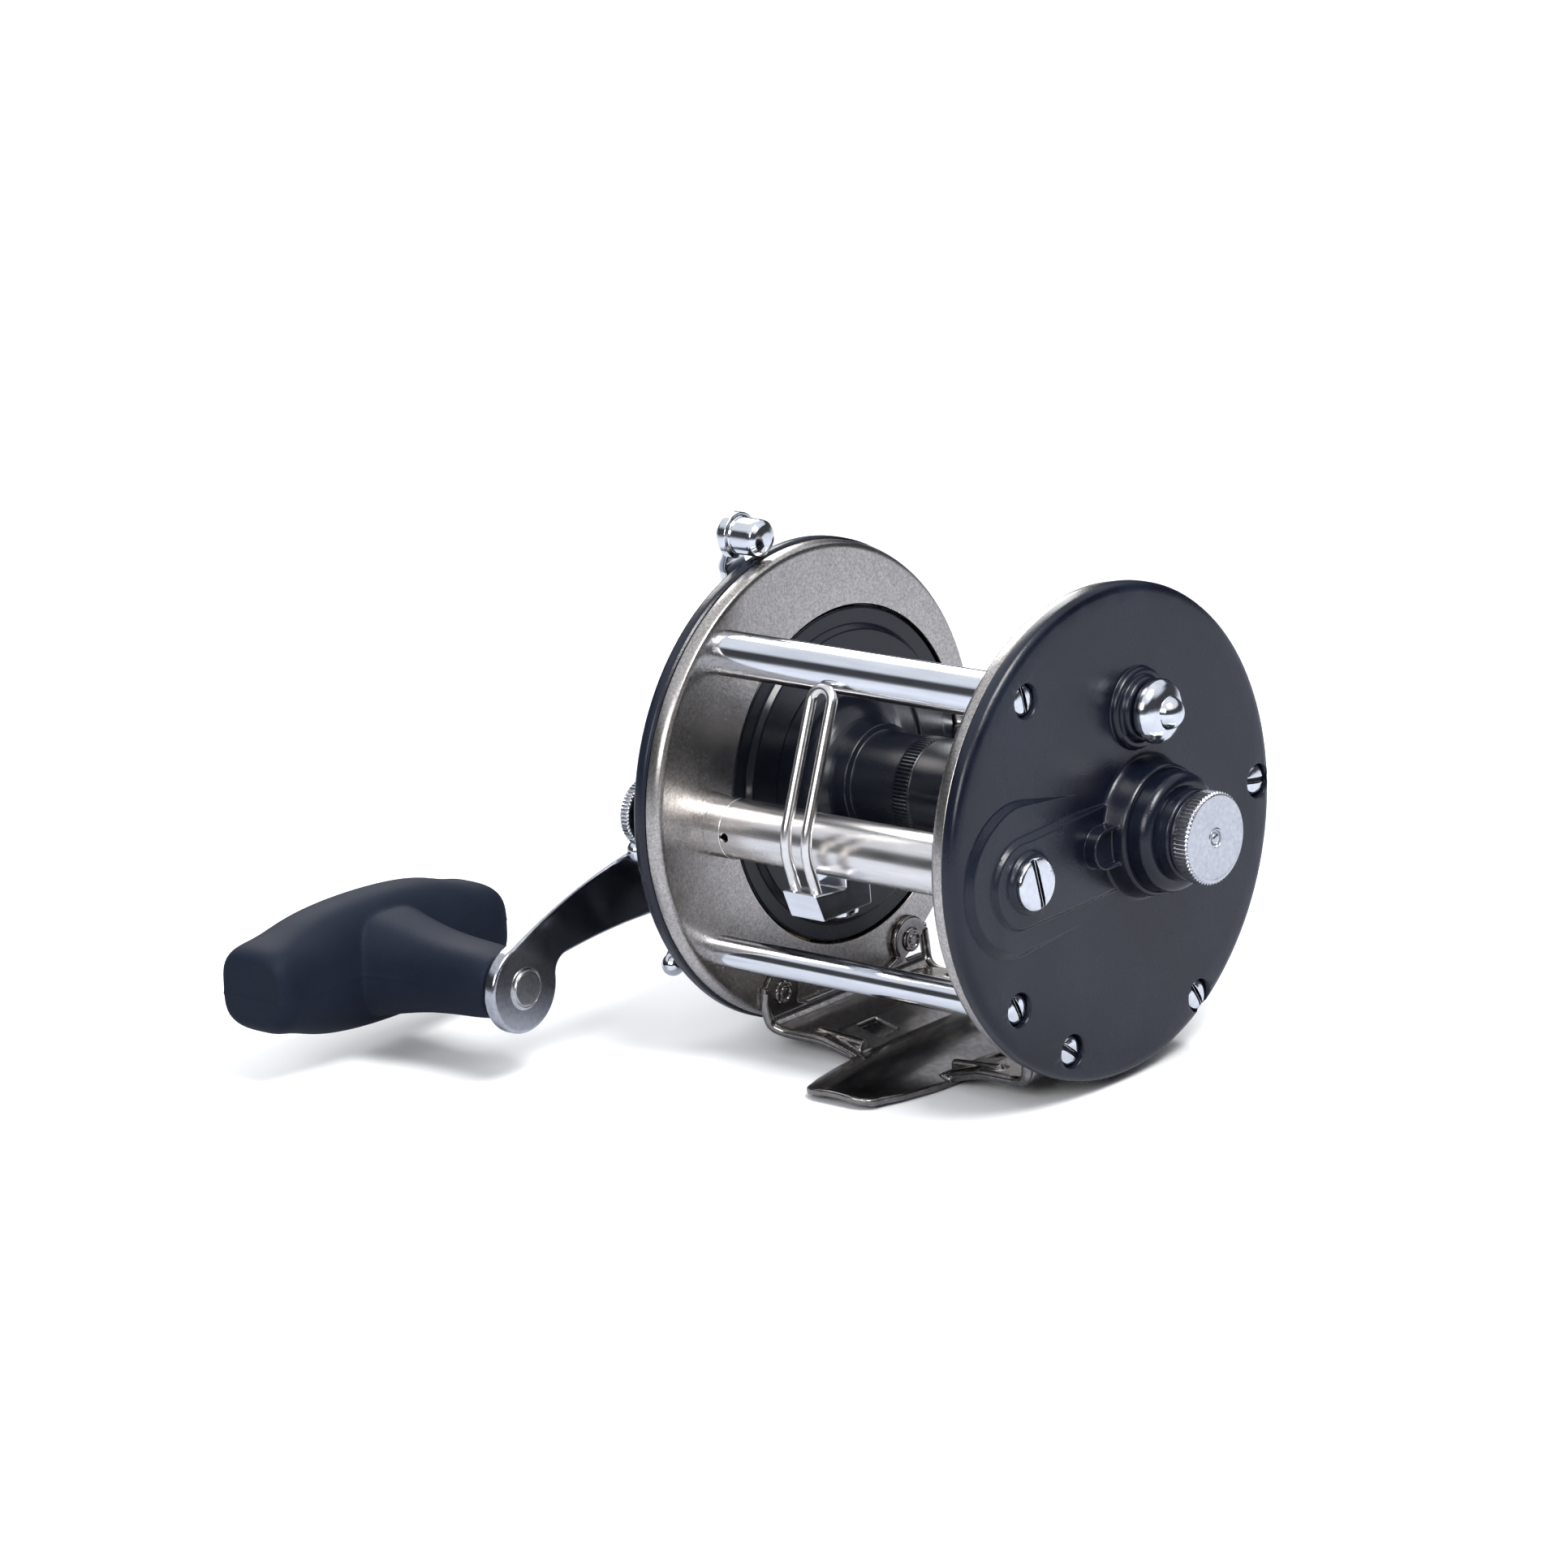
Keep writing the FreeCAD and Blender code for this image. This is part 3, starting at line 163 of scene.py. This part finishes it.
def metal(name, dark, light, rough, grain_scale, grain, stretch=(1, 1, 1), swing=0.06):
    """Metal whose grain, cloudiness and roughness vary; stretch draws the grain out."""
    material, tree, shader = new_material(name)
    where = object_coords(tree, stretch)
    fine = noise_map(tree, where, grain_scale, 4, 0.6)
    cloud = noise_map(tree, object_coords(tree), 70, 4)
    tree.links.new(ramp(tree, fine, 0.3, 0.7, dark, light), shader.inputs["Base Color"])
    tree.links.new(spread(tree, cloud, rough - swing / 2, rough + swing), shader.inputs["Roughness"])
    shader.inputs["Metallic"].default_value = 1.0
    add_bump(tree, shader, [(fine, grain)], 0.00005)
    return material


def soft_rubber(name):
    """Matte moulded grip: blue-black with a fine leathery texture and a soft sheen."""
    material, tree, shader = new_material(name)
    where = object_coords(tree)
    cloud = noise_map(tree, where, 45, 4)
    skin = noise_map(tree, where, 3200, 4, 0.65)
    tone = ramp(tree, cloud, 0.3, 0.75, (0.006, 0.009, 0.018), (0.012, 0.016, 0.029))
    tree.links.new(tone, shader.inputs["Base Color"])
    tree.links.new(spread(tree, cloud, 0.56, 0.66), shader.inputs["Roughness"])
    shader.inputs["Specular IOR Level"].default_value = 0.11
    add_bump(tree, shader, [(skin, 0.35)], 0.00008)
    return material


LOOK = {
    "black_plate": moulded_plastic(
        "black_plate", (0.003, 0.004, 0.010), (0.008, 0.011, 0.021), 0.25, 0.4, 0.42),
    "black_spool": moulded_plastic(
        "black_spool", (0.003, 0.004, 0.008), (0.007, 0.009, 0.014), 0.24, 0.12, 0.4),
    "nickel_ring": metal("nickel_ring", (0.30, 0.283, 0.270), (0.58, 0.545, 0.52), 0.25, 2400, 0.2),
    "nickel_stand": metal("nickel_stand", (0.20, 0.187, 0.178), (0.31, 0.292, 0.28), 0.17, 900, 0.08),
    "chrome": metal(
        "chrome", (0.68, 0.70, 0.74), (0.80, 0.82, 0.86), 0.11, 900, 0.03, (0.12, 1, 1), 0.04),
    "satin_chrome": metal(
        "satin_chrome", (0.70, 0.68, 0.665), (0.84, 0.82, 0.805), 0.23, 1100, 0.05, (0.1, 1, 1)),
    "bright_steel": metal("bright_steel", (0.36, 0.36, 0.37), (0.52, 0.52, 0.53), 0.2, 1200, 0.08),
    "knurled_metal": metal("knurled_metal", (0.50, 0.51, 0.54), (0.66, 0.67, 0.70), 0.2, 1600, 0.1),
    "brass": metal("brass", (0.50, 0.36, 0.14), (0.68, 0.51, 0.24), 0.26, 1200, 0.1),
    "bronze": metal("bronze", (0.32, 0.20, 0.10), (0.46, 0.31, 0.17), 0.38, 1800, 0.2),
    "spring_steel": metal("spring_steel", (0.30, 0.30, 0.31), (0.42, 0.42, 0.43), 0.28, 1500, 0.1),
    "drag_fibre": moulded_plastic("drag_fibre", (0.06, 0.05, 0.04), (0.12, 0.10, 0.08), 0.7, 0.5),
    "grip_rubber": soft_rubber("grip_rubber"),
    # Painted shade: a near-black metal laid on the screws' slots in place of the shadow in them.
    "slot_shadow": metal("slot_shadow", (0.010, 0.011, 0.014), (0.035, 0.036, 0.042), 0.45, 1500, 0.1),
}

# Painted shade: a darker copy of the chrome for the handle arm, standing in for the dark reflections it
# shows.
HANDLE_CHROME = metal("painted_shade_chrome", (0.36, 0.37, 0.40), (0.50, 0.51, 0.55), 0.14, 1300, 0.06)
SLOTS = {part["node"]: part["material_slot"] for part in frame["record"]["subparts"]}
for node, obj in NODES.items():
    obj.data.materials.clear()
    obj.data.materials.append(LOOK[SLOTS[node]])


# ---------------------------------------------------------------- shapes
# A shape is (corners, faces) in millimetres: x along the spool, (y, z) from the plates' centre.

def place(node):
    """(y, z) of a node's middle from the plates' centre, in millimetres."""
    middle = (centre(node) - PLATE) * 1000
    return middle.y, middle.z


def eased(points, ease, steps=5):
    """Rounds the inner corners of a line; ease is the length taken from each side."""
    points = [Vector(p) for p in points]
    line = [points[0]]
    for before, here, after in zip(points, points[1:], points[2:]):
        back, ahead = before - here, after - here
        size = min(ease, 0.45 * back.length, 0.45 * ahead.length)
        start = here + back.normalized() * size
        end = here + ahead.normalized() * size
        for k in range(steps + 1):
            t = k / steps
            line.append(start * (1 - t) ** 2 + here * 2 * t * (1 - t) + end * t * t)
    return line + [points[-1]]


def bridged(rings):
    """Faces between rings of corner numbers; a ring of one corner is a tip."""
    faces = []
    for one, two in zip(rings, rings[1:]):
        for k in range(max(len(one), len(two))):
            near = one[k % len(one)], one[(k + 1) % len(one)]
            far = two[(k + 1) % len(two)], two[k % len(two)]
            corner = near + far
            face = list(dict.fromkeys(corner))
            if len(face) > 2:
                faces.append(face)
    return faces


def lathe(profile, axis, ease, sides, ripple=None):
    """Turns an (x, radius) line about the X axis through axis; ripple(x, r, angle) adds to the radius."""
    corners, rings = [], []
    for x, r in eased(profile, ease):
        if r < 1e-4:
            rings.append([len(corners)])
            corners.append((x, *axis))
            continue
        rings.append(range(len(corners), len(corners) + sides))
        for k in range(sides):
            a = TAU * k / sides
            reach = r + (ripple(x, r, a) if ripple else 0)
            corners.append((x, axis[0] + reach * math.cos(a), axis[1] + reach * math.sin(a)))
    return corners, bridged(rings)


def swept(path, radius, sides=24):
    """Round wire along a path of (x, y, z) points."""
    path = [Vector(p) for p in path]
    corners, rings = [], []
    across = Vector((1, 0, 0))
    for k, p in enumerate(path):
        along = (path[min(k + 1, len(path) - 1)] - path[max(k - 1, 0)]).normalized()
        across = (across - along * across.dot(along)).normalized()
        up = along.cross(across)
        rings.append(range(len(corners), len(corners) + sides))
        for n in range(sides):
            a = TAU * n / sides
            corners.append(tuple(p + (across * math.cos(a) + up * math.sin(a)) * radius))
    faces = bridged(rings)
    return corners, faces + [list(rings[0])[::-1], list(rings[-1])]


def piece(name, mesh, like, sharp=35):
    """Shaded object that rides and is finished as a CAD node does."""
    mesh.shade_smooth()
    mesh.set_sharp_from_angle(angle=math.radians(sharp))
    mesh.materials.clear()
    mesh.materials.append(LOOK[SLOTS[like]])
    obj = bpy.data.objects.new(name, mesh)
    bpy.context.scene.collection.objects.link(obj)
    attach(obj, NODES[like]["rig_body"])
    flats = obj.modifiers.new("flats", "WEIGHTED_NORMAL")
    flats.weight = 100
    flats.keep_sharp = True
    return obj


def stand_in(name, mesh, nodes, sharp=35):
    """A piece that stands for CAD nodes; it takes the first one's body and material slot."""
    obj = piece(name, mesh, nodes[0], sharp)
    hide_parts(*nodes)
    return obj


def shape_mesh(name, shape):
    mesh = bpy.data.meshes.new(name)
    corners, faces = shape
    mesh.from_pydata([Vector(c) / 1000 + Vector((0, PLATE.y, PLATE.z)) for c in corners], [], faces)
    edit = bmesh.new()
    edit.from_mesh(mesh)
    bmesh.ops.recalc_face_normals(edit, faces=edit.faces)
    edit.to_mesh(mesh)
    edit.free()
    return mesh


def made(name, shape, *nodes, sharp=35):
    """Turns a shape into a piece."""
    return stand_in(name, shape_mesh(name, shape), nodes, sharp)


HARD_EDGE = math.radians(32)
NEARLY_FLAT = math.radians(0.5)
SAME_SPOT = 1e-6


def softened(node, width):
    """Copy of a CAD node whose sharp edges are rounded by width millimetres."""
    edit = bmesh.new()
    edit.from_mesh(NODES[node].data)
    bmesh.ops.remove_doubles(edit, verts=edit.verts, dist=SAME_SPOT)
    bmesh.ops.dissolve_limit(edit, angle_limit=NEARLY_FLAT, verts=edit.verts, edges=edit.edges)
    hard = [e for e in edit.edges if len(e.link_faces) == 2 and e.calc_face_angle(0) > HARD_EDGE]
    bmesh.ops.bevel(edit, geom=hard, offset=width / 1000, offset_type="OFFSET", segments=2,
                    profile=0.5, affect="EDGES", clamp_overlap=False)
    bmesh.ops.triangulate(edit, faces=[f for f in edit.faces if len(f.verts) > 4])
    mesh = bpy.data.meshes.new(node + "_soft")
    edit.to_mesh(mesh)
    edit.free()
    return stand_in(node + "_soft", mesh, [node])


# Depths below the screw heads, in millimetres.
SLOT_FLOOR = (0.4, 0.75)
SLOT_DEEPEST = 0.8


def shadow_slots(obj, places, radius):
    """Paints shade on the walls and floor of each screw's slot: a dark material stands in for the shadow
    down in the slot.
    """
    mesh = obj.data
    mesh.materials.append(LOOK["slot_shadow"])
    out = max(abs(v.co.x) for v in mesh.vertices)
    for face in mesh.polygons:
        y, z = (face.center.y - PLATE.y) * 1000, (face.center.z - PLATE.z) * 1000
        near = min(places, key=lambda p: math.hypot(y - p[0], z - p[1]))
        dy, dz = y - near[0], z - near[1]
        depth = (out - abs(face.center.x)) * 1000
        wall = abs(face.normal.x) < 0.4 and abs(face.normal.y * dy + face.normal.z * dz) < 0.9
        floor = abs(face.normal.x) > 0.95 and SLOT_FLOOR[0] < depth < SLOT_FLOOR[1]
        if depth < SLOT_DEEPEST and math.hypot(dy, dz) < radius and (wall or floor):
            face.material_index = 1


def polished(node):
    """Copy of a CAD node shaded so that its flats stay flat and its rounded edges catch light."""
    edit = bmesh.new()
    edit.from_mesh(NODES[node].data)
    bmesh.ops.remove_doubles(edit, verts=edit.verts, dist=SAME_SPOT)
    mesh = bpy.data.meshes.new(node + "_shaded")
    edit.to_mesh(mesh)
    edit.free()
    return stand_in(node + "_shaded", mesh, [node])


def remelted(node, voxel, steps):
    """Mesh of a CAD node rebuilt in even voxels and smoothed, so that its joints flow together."""
    source = bpy.data.objects.new("source", NODES[node].data.copy())
    bpy.context.scene.collection.objects.link(source)
    remesh = source.modifiers.new("remesh", "REMESH")
    remesh.mode = "VOXEL"
    remesh.voxel_size = voxel / 1000
    smooth = source.modifiers.new("smooth", "SMOOTH")
    smooth.factor = 0.5
    smooth.iterations = steps
    depsgraph = bpy.context.evaluated_depsgraph_get()
    mesh = bpy.data.meshes.new_from_object(source.evaluated_get(depsgraph))
    mesh.name = node + "_smooth"
    bpy.data.objects.remove(source)
    return mesh


# ---------------------------------------------------------------- pieces

SPOOL = place("spool_shaft")
WORM = place("level_wind_worm")
CLICK = place("click_button")
LOW, HIGH = 0, 1


def edge(node, side):
    """x of a node's low or high end in millimetres."""
    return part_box(node)[side].x * 1000


def knurl(ridges, depth, at_least):
    """Ripple for a knurled rim: rounded ridges wherever the radius is at least a given one."""
    def ripple(x, r, angle):
        if r < at_least:
            return 0
        return -depth * (0.5 - 0.5 * math.cos(ridges * angle)) ** 0.7
    return ripple


def left_cap():
    """Knurled cap with a turned face, a shallow ring and a centre pip."""
    out, back = edge("left_bearing_cap", LOW) + 0.25, edge("left_bearing_cap", HIGH)
    rim_back = out + 3.1
    profile = [
        (back, 0), (back, 3.95), (rim_back, 3.95), (rim_back, 6.9), (rim_back - 0.35, 7.5),
        (out + 0.45, 7.5), (out + 0.02, 7.0), (out, 6.7), (out + 0.06, 6.4), (out + 0.1, 1.75),
        (out - 0.06, 1.6),
        (out - 0.06, 1.4), (out + 0.45, 1.25), (out + 0.45, 1.0), (out + 0.05, 0.9), (out - 0.2, 0.5),
        (out - 0.25, 0.0),
    ]
    shape = lathe(profile, SPOOL, 0.12, 64 * 10, knurl(64, 0.36, 7.3))
    made("left_bearing_cap_turned", shape, "left_bearing_cap")


def worm_cap():
    """Knurled cap over the worm's handle end, with a small centre dimple."""
    inner, out = edge("worm_end_cap", LOW), edge("worm_end_cap", HIGH)
    profile = [
        (inner, 0), (inner, 3.1), (inner + 0.3, 3.1), (inner + 0.3, 5.2), (inner + 0.6, 5.65),
        (out - 0.45, 5.65),
        (out, 5.1), (out - 0.1, 4.7), (out - 0.12, 0.9), (out - 0.5, 0.7), (out - 0.5, 0),
    ]
    shape = lathe(profile, WORM, 0.12, 54 * 8, knurl(54, 0.25, 5.5))
    made("worm_end_cap_turned", shape, "worm_end_cap")


def right_cap():
    """Knurled bearing cap on the handle side."""
    inner, out = edge("right_bearing_cap", LOW), edge("right_bearing_cap", HIGH)
    profile = [
        (inner, 0), (inner, 3.95), (inner + 0.35, 3.95), (inner + 0.35, 5.9), (inner + 0.7, 6.3),
        (out - 0.45, 6.3), (out, 5.8), (out - 0.1, 5.3), (out - 0.1, 0.8), (out - 0.4, 0.6), (out - 0.4, 0),
    ]
    shape = lathe(profile, SPOOL, 0.12, 60 * 8, knurl(60, 0.25, 6.1))
    made("right_bearing_cap_turned", shape, "right_bearing_cap")


def click_knob():
    """Chrome mushroom with a ball in its middle, on a stud."""
    inner = edge("click_button", HIGH)
    profile = [(inner, 0), (inner, 1.6), (-37.0, 1.6), (-37.0, 4.3), (-37.2, 4.9), (-38.0, 5.25),
               (-38.9, 5.15), (-39.7, 4.6), (-40.3, 3.7), (-40.7, 2.9)]
    ball_r, ball_x = 2.75, -40.2
    for k in range(13):
        a = math.radians(12 + 6.5 * k)
        profile.append((ball_x - ball_r * math.sin(a), ball_r * math.cos(a)))
    profile[-1] = (ball_x - ball_r, 0)
    made("click_button_turned", lathe(profile, CLICK, 0.35, 96), "click_button", sharp=50)


def guide_wire():
    """One bent wire: up one leg, round the top and down the other."""
    low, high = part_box("line_guide")
    middle = (low.x + high.x) * 500
    y0 = PLATE.y * 1000
    z0 = PLATE.z * 1000
    wire_r = 0.9
    half = (high.x - low.x) * 500 - wire_r
    foot = Vector((31.8, -7.4))
    knee = Vector((high.y * 1000 - y0 - wire_r, 1.2))
    crown = Vector((25.5, high.z * 1000 - z0 - wire_r - 2.0))
    lean = (crown - knee).normalized()
    legs = []
    for side in (-1, 1):
        x = middle + side * half
        legs.append(eased([(x, *foot), (x, *knee), (x, *crown)], 3.6, 12))
    top = []
    for k in range(1, 24):
        a = math.pi * k / 24
        step = crown + lean * half * math.sin(a)
        top.append(Vector((middle - half * math.cos(a), *step)))
    made("line_guide_wire", swept(legs[0] + top + legs[1][::-1], wire_r), "line_guide", sharp=60)


def worm_thread():
    """Worm with two crossed grooves, one turning each way."""
    low, high = edge("level_wind_worm", LOW), edge("level_wind_worm", HIGH)
    pitch, thread_end = 7.0, 24.3

    def groove(x, r, angle):
        if r < 2.3 or abs(x) > thread_end:
            return 0
        depth = 0
        for sign in (-1, 1):
            turn = (x / pitch + sign * angle / TAU) % 1
            gap = min(turn, 1 - turn) * pitch
            depth = max(depth, min(1, max(0, (0.95 - gap) / 0.3)))
        return -0.75 * depth

    start, stop, step = -27.0, 24.8, 0.12
    middle = [(start + step * k, 2.4) for k in range(int((stop - start) / step) + 1)]
    profile = [(low, 0), (low, 1.8), (start, 1.8)] + middle + [(stop, 1.8), (high, 1.8), (high, 0)]
    made("level_wind_worm_cut", lathe(profile, WORM, 0.02, 72, groove), "level_wind_worm", sharp=50)


def spool_shape():
    """Moulded spool with stepped flanges, round shoulders and a band of fine ticks."""
    half = [
        (29.5, 2.4), (29.5, 27.6), (29.2, 27.9), (28.8, 27.9), (28.5, 27.6), (28.5, 25.0), (27.5, 24.2),
        (27.5, 18.4), (27.9, 17.9), (27.9, 14.6),
    ]
    for k in range(1, 9):
        a = math.radians(10 * k + 4)
        half.append((22.7 + 5.2 * math.cos(a), 14.6 - 5.2 * math.sin(a)))
    half += [(20.7, 9.4), (20.4, 8.4), (11.3, 8.4), (11.0, 8.7), (8.3, 8.7), (8.0, 8.4)]

    def ticks(x, r, angle):
        if 8.55 < r < 8.75 and 8.2 < abs(x) < 11.1:
            return -0.3 * (0.5 + 0.5 * math.cos(80 * angle)) ** 3
        return 0

    profile = half + [(-x, r) for x, r in half[::-1]]
    made("spool_body_turned", lathe(profile + [half[0]], SPOOL, 0.25, 480, ticks), "spool_body")


def stand_sheet():
    """Pressed stand: the joints of the foot, webs and ears flow into each other."""
    mesh = remelted("reel_stand", 0.22, 5)
    stand_in("reel_stand_pressed", mesh, ["reel_stand"], sharp=60)


def stand_screw_places():
    """(y, z) of the two stand screws, from the ends of their box."""
    low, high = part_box("left_stand_screws")
    r = (high.z - low.z) * 500
    z = (high.z + low.z) * 500 - PLATE.z * 1000
    return [(y * 1000 - PLATE.y * 1000 + turn * r, z) for y, turn in ((low.y, 1), (high.y, -1))]


def extra(name, shape, like, sharp=35):
    """A piece that stands for no node of its own."""
    piece(name, shape_mesh(name, shape), like, sharp)


def rivets():
    """Flush rivet heads on the inner faces of the ears: a rolled ring round a small dimple."""
    profile = [(27.15, 0), (27.15, 2.05), (26.8, 2.05), (26.55, 1.75), (26.55, 1.45), (26.85, 1.2),
               (26.85, 0.95), (26.6, 0.75), (26.6, 0)]
    for side, word in ((-1, "left"), (1, "right")):
        for k, axis in enumerate(stand_screw_places()):
            shape = lathe([(side * x, r) for x, r in profile], axis, 0.12, 48)
            extra("ear_rivet_%s_%d" % (word, k), shape, "reel_stand")


def rolled_edges():
    """Rounded edge rolled along the front and back of each web, from the ear down to the foot."""
    front, back = 17.0, -21.6
    for side, word in ((-1, "left"), (1, "right")):
        for y, end in ((front, "front"), (back, "back")):
            out = 1 if y > 0 else -1
            line = [(27.6, y + 0.6 * out, -31.6), (27.6, y + 0.9 * out, -34.2),
                    (27.0, y + 0.5 * out, -37.2), (24.6, y - 0.3 * out, -38.1),
                    (16.6, y - 0.5 * out, -38.2), (12.4, y - 0.7 * out, -39.3),
                    (8.8, y - 1.0 * out, -40.4)]
            path = eased([(side * a, b, c) for a, b, c in line], 1.6, 6)
            extra("web_edge_%s_%s" % (word, end), swept(path, 0.85, 20), "reel_stand", 60)


MOULD_LINE_HALF, MOULD_LINE_HEIGHT = 0.0003, 0.00012


def grip_shape():
    """Moulded grip: softened corners and a faint raised line where the mould halves met."""
    mesh = remelted("handle_grip", 0.32, 6)
    level = centre("grip_post").z
    normals = [Vector(v.normal) for v in mesh.vertices]
    for v, normal in zip(mesh.vertices, normals):
        near = 1 - abs(v.co.z - level) / MOULD_LINE_HALF
        if near > 0 and abs(normal.z) < 0.5:
            v.co += normal * MOULD_LINE_HEIGHT * near
    low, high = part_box("handle_grip")
    for v in mesh.vertices:
        v.co = Vector(min(max(value, first), last) for value, first, last in zip(v.co, low, high))
    stand_in("handle_grip_moulded", mesh, ["handle_grip"], sharp=80)


# Distances from the plates' centre where the lever's crank starts and ends, and how far in it goes.
CRANK_FROM, CRANK_TO, CRANK_SHARE = 0.0365, 0.0415, 0.25


def lever_shape():
    """Lever with softly rounded edges, its arm cranked in towards the plate's rim under the knob."""
    mesh = remelted("free_spool_lever", 0.17, 3)
    frame_of = NODES["free_spool_lever"].matrix_world
    inward = frame_of.inverted()
    knob_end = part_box("free_spool_lever")[0][0]
    for vertex in mesh.vertices:
        spot = frame_of @ vertex.co
        reach = math.hypot(spot.y - PLATE.y, spot.z - PLATE.z)
        share = min(1, max(0, (reach - CRANK_FROM) / (CRANK_TO - CRANK_FROM)))
        spot.x -= CRANK_SHARE * (spot.x - knob_end) * share * share * (3 - 2 * share)
        vertex.co = inward @ spot
    stand_in("free_spool_lever_cast", mesh, ["free_spool_lever"], sharp=60)


def star_shape():
    """Cast star wheel: arms that flow into the hub and their round tips."""
    stand_in("star_wheel_cast", remelted("star_wheel", 0.2, 4), ["star_wheel"], sharp=50)


left_cap()
worm_cap()
right_cap()
click_knob()
guide_wire()
worm_thread()
spool_shape()
stand_sheet()
grip_shape()

# Nodes whose edges are rounded, with the width of the rounding in millimetres.
ROUNDED = {
    "left_side_plate": 0.22, "right_side_plate": 0.4, "left_ring": 0.2, "right_ring": 0.2,
    "worm_shield": 0.1, "shield_collar": 0.1, "carriage_block": 0.25, "handle_nut": 0.2,
    "left_pillar_screws": 0.08, "right_pillar_screws": 0.08,
    "left_stand_screws": 0.08, "right_stand_screws": 0.08,
    "worm_cap_screw": 0.12, "pawl_cap": 0.15, "nut_lock_screw": 0.1, "grip_post": 0.2,
}
SCREW_TIP = 0.0271
SCREW_PLACES = {
    "left_pillar_screws": [place(n) for n in ("pillar_top", "pillar_lower", "pillar_rear")],
    "left_stand_screws": stand_screw_places(), "worm_cap_screw": [WORM],
}
SCREW_PLACES["right_pillar_screws"] = SCREW_PLACES["left_pillar_screws"]
SCREW_PLACES["right_stand_screws"] = SCREW_PLACES["left_stand_screws"]
for node, width in ROUNDED.items():
    soft = softened(node, width)
    if node in SCREW_PLACES:
        shadow_slots(soft, SCREW_PLACES[node], 4.6 if node == "worm_cap_screw" else 2.6)
    if node.endswith("stand_screws"):
        for v in soft.data.vertices:
            v.co.x = math.copysign(max(abs(v.co.x), SCREW_TIP), v.co.x)
rivets()
rolled_edges()
# The handle arm takes the chrome darkened as painted shade.
polished("handle_arm").data.materials[0] = HANDLE_CHROME
star_shape()
lever_shape()


# ---------------------------------------------------------------- floor, light and camera

def area_light(name, at, aim, size, power):
    data = bpy.data.lights.new(name, "AREA")
    data.shape = "RECTANGLE"
    data.size, data.size_y = size
    data.energy = power
    lamp = bpy.data.objects.new(name, data)
    bpy.context.scene.collection.objects.link(lamp)
    lamp.location = at
    lamp.rotation_euler = (Vector(aim) - Vector(at)).to_track_quat("-Z", "Y").to_euler()


def make_floor():
    """Pale floor: near white to the camera, mid grey to every other ray so that black parts stay dark."""
    mesh = bpy.data.meshes.new("floor")
    half = 6.0
    level = CAD_BOX[0][2]
    corners = [(-half, -half, level), (half, -half, level), (half, half, level), (-half, half, level)]
    mesh.from_pydata(corners, [], [(0, 1, 2, 3)])
    floor = bpy.data.objects.new("floor", mesh)
    bpy.context.scene.collection.objects.link(floor)
    material, tree, shader = new_material("floor")
    seen = tree.nodes.new("ShaderNodeLightPath")
    tone = tree.nodes.new("ShaderNodeMix")
    tone.data_type = "RGBA"
    tone.inputs["A"].default_value = (0.50, 0.52, 0.57, 1)
    tone.inputs["B"].default_value = (0.95, 0.95, 0.95, 1)
    tree.links.new(seen.outputs["Is Camera Ray"], tone.inputs["Factor"])
    tree.links.new(tone.outputs["Result"], shader.inputs["Base Color"])
    shader.inputs["Roughness"].default_value = 0.85
    mesh.materials.append(material)


def make_world():
    """Bright overhead, a dark band above the horizon for the metal to reflect, white behind."""
    world = bpy.data.worlds.new("studio")
    bpy.context.scene.world = world
    world.use_nodes = True
    tree = world.node_tree
    room = tree.nodes["Background"]
    coords = tree.nodes.new("ShaderNodeTexCoord")
    split = tree.nodes.new("ShaderNodeSeparateXYZ")
    tree.links.new(coords.outputs["Generated"], split.inputs["Vector"])
    bands = tree.nodes.new("ShaderNodeValToRGB")
    stops = bands.color_ramp.elements
    stops[0].position, stops[0].color = 0.0, (0.30, 0.31, 0.34, 1)
    stops[1].position, stops[1].color = 1.0, (1.10, 1.12, 1.16, 1)
    for where, shade in ((0.10, 0.07), (0.44, 0.06), (0.56, 0.95)):
        stop = stops.new(where)
        stop.color = (shade, shade * 1.05, shade * 1.16, 1)
    tree.links.new(split.outputs["Z"], bands.inputs["Fac"])
    tree.links.new(bands.outputs["Color"], room.inputs["Color"])
    room.inputs["Strength"].default_value = 0.85
    backdrop = tree.nodes.new("ShaderNodeBackground")
    backdrop.inputs["Color"].default_value = (1, 1, 1, 1)
    seen = tree.nodes.new("ShaderNodeLightPath")
    mix = tree.nodes.new("ShaderNodeMixShader")
    tree.links.new(seen.outputs["Is Camera Ray"], mix.inputs["Fac"])
    tree.links.new(room.outputs["Background"], mix.inputs[1])
    tree.links.new(backdrop.outputs["Background"], mix.inputs[2])
    tree.links.new(mix.outputs["Shader"], tree.nodes["World Output"].inputs["Surface"])


def make_camera():
    """Long lens on the left plate's side, above the line guide, rolled a few degrees."""
    right = Vector((-0.74942, -0.65872, -0.06674))
    up = Vector((0.13366, -0.24925, 0.95917))
    forward = Vector((0.64846, -0.70990, -0.27484))
    offset = Vector((-0.68103, 0.78549, 0.30236))
    data = bpy.data.cameras.new("camera")
    data.sensor_width = 36
    data.lens = 154.11
    data.clip_start = 0.01
    camera = bpy.data.objects.new("camera", data)
    bpy.context.scene.collection.objects.link(camera)
    rotation = Matrix((right, up, -forward)).transposed().to_4x4()
    eye = Vector((0, PLATE.y, PLATE.z)) + offset
    camera.matrix_world = Matrix.Translation(eye) @ rotation
    bpy.context.scene.camera = camera


bpy.context.scene.view_settings.view_transform = "Standard"
make_floor()
make_world()
make_camera()
area_light("key", (-0.7, 0.25, 1.2), (0, 0, 0.04), (0.55, 0.55), 21)
area_light("front", (-0.2, 1.3, 0.7), (0, 0, 0.05), (1.0, 0.5), 10)
area_light("rim", (0.9, -0.6, 0.8), (0, 0, 0.04), (0.7, 0.7), 9)
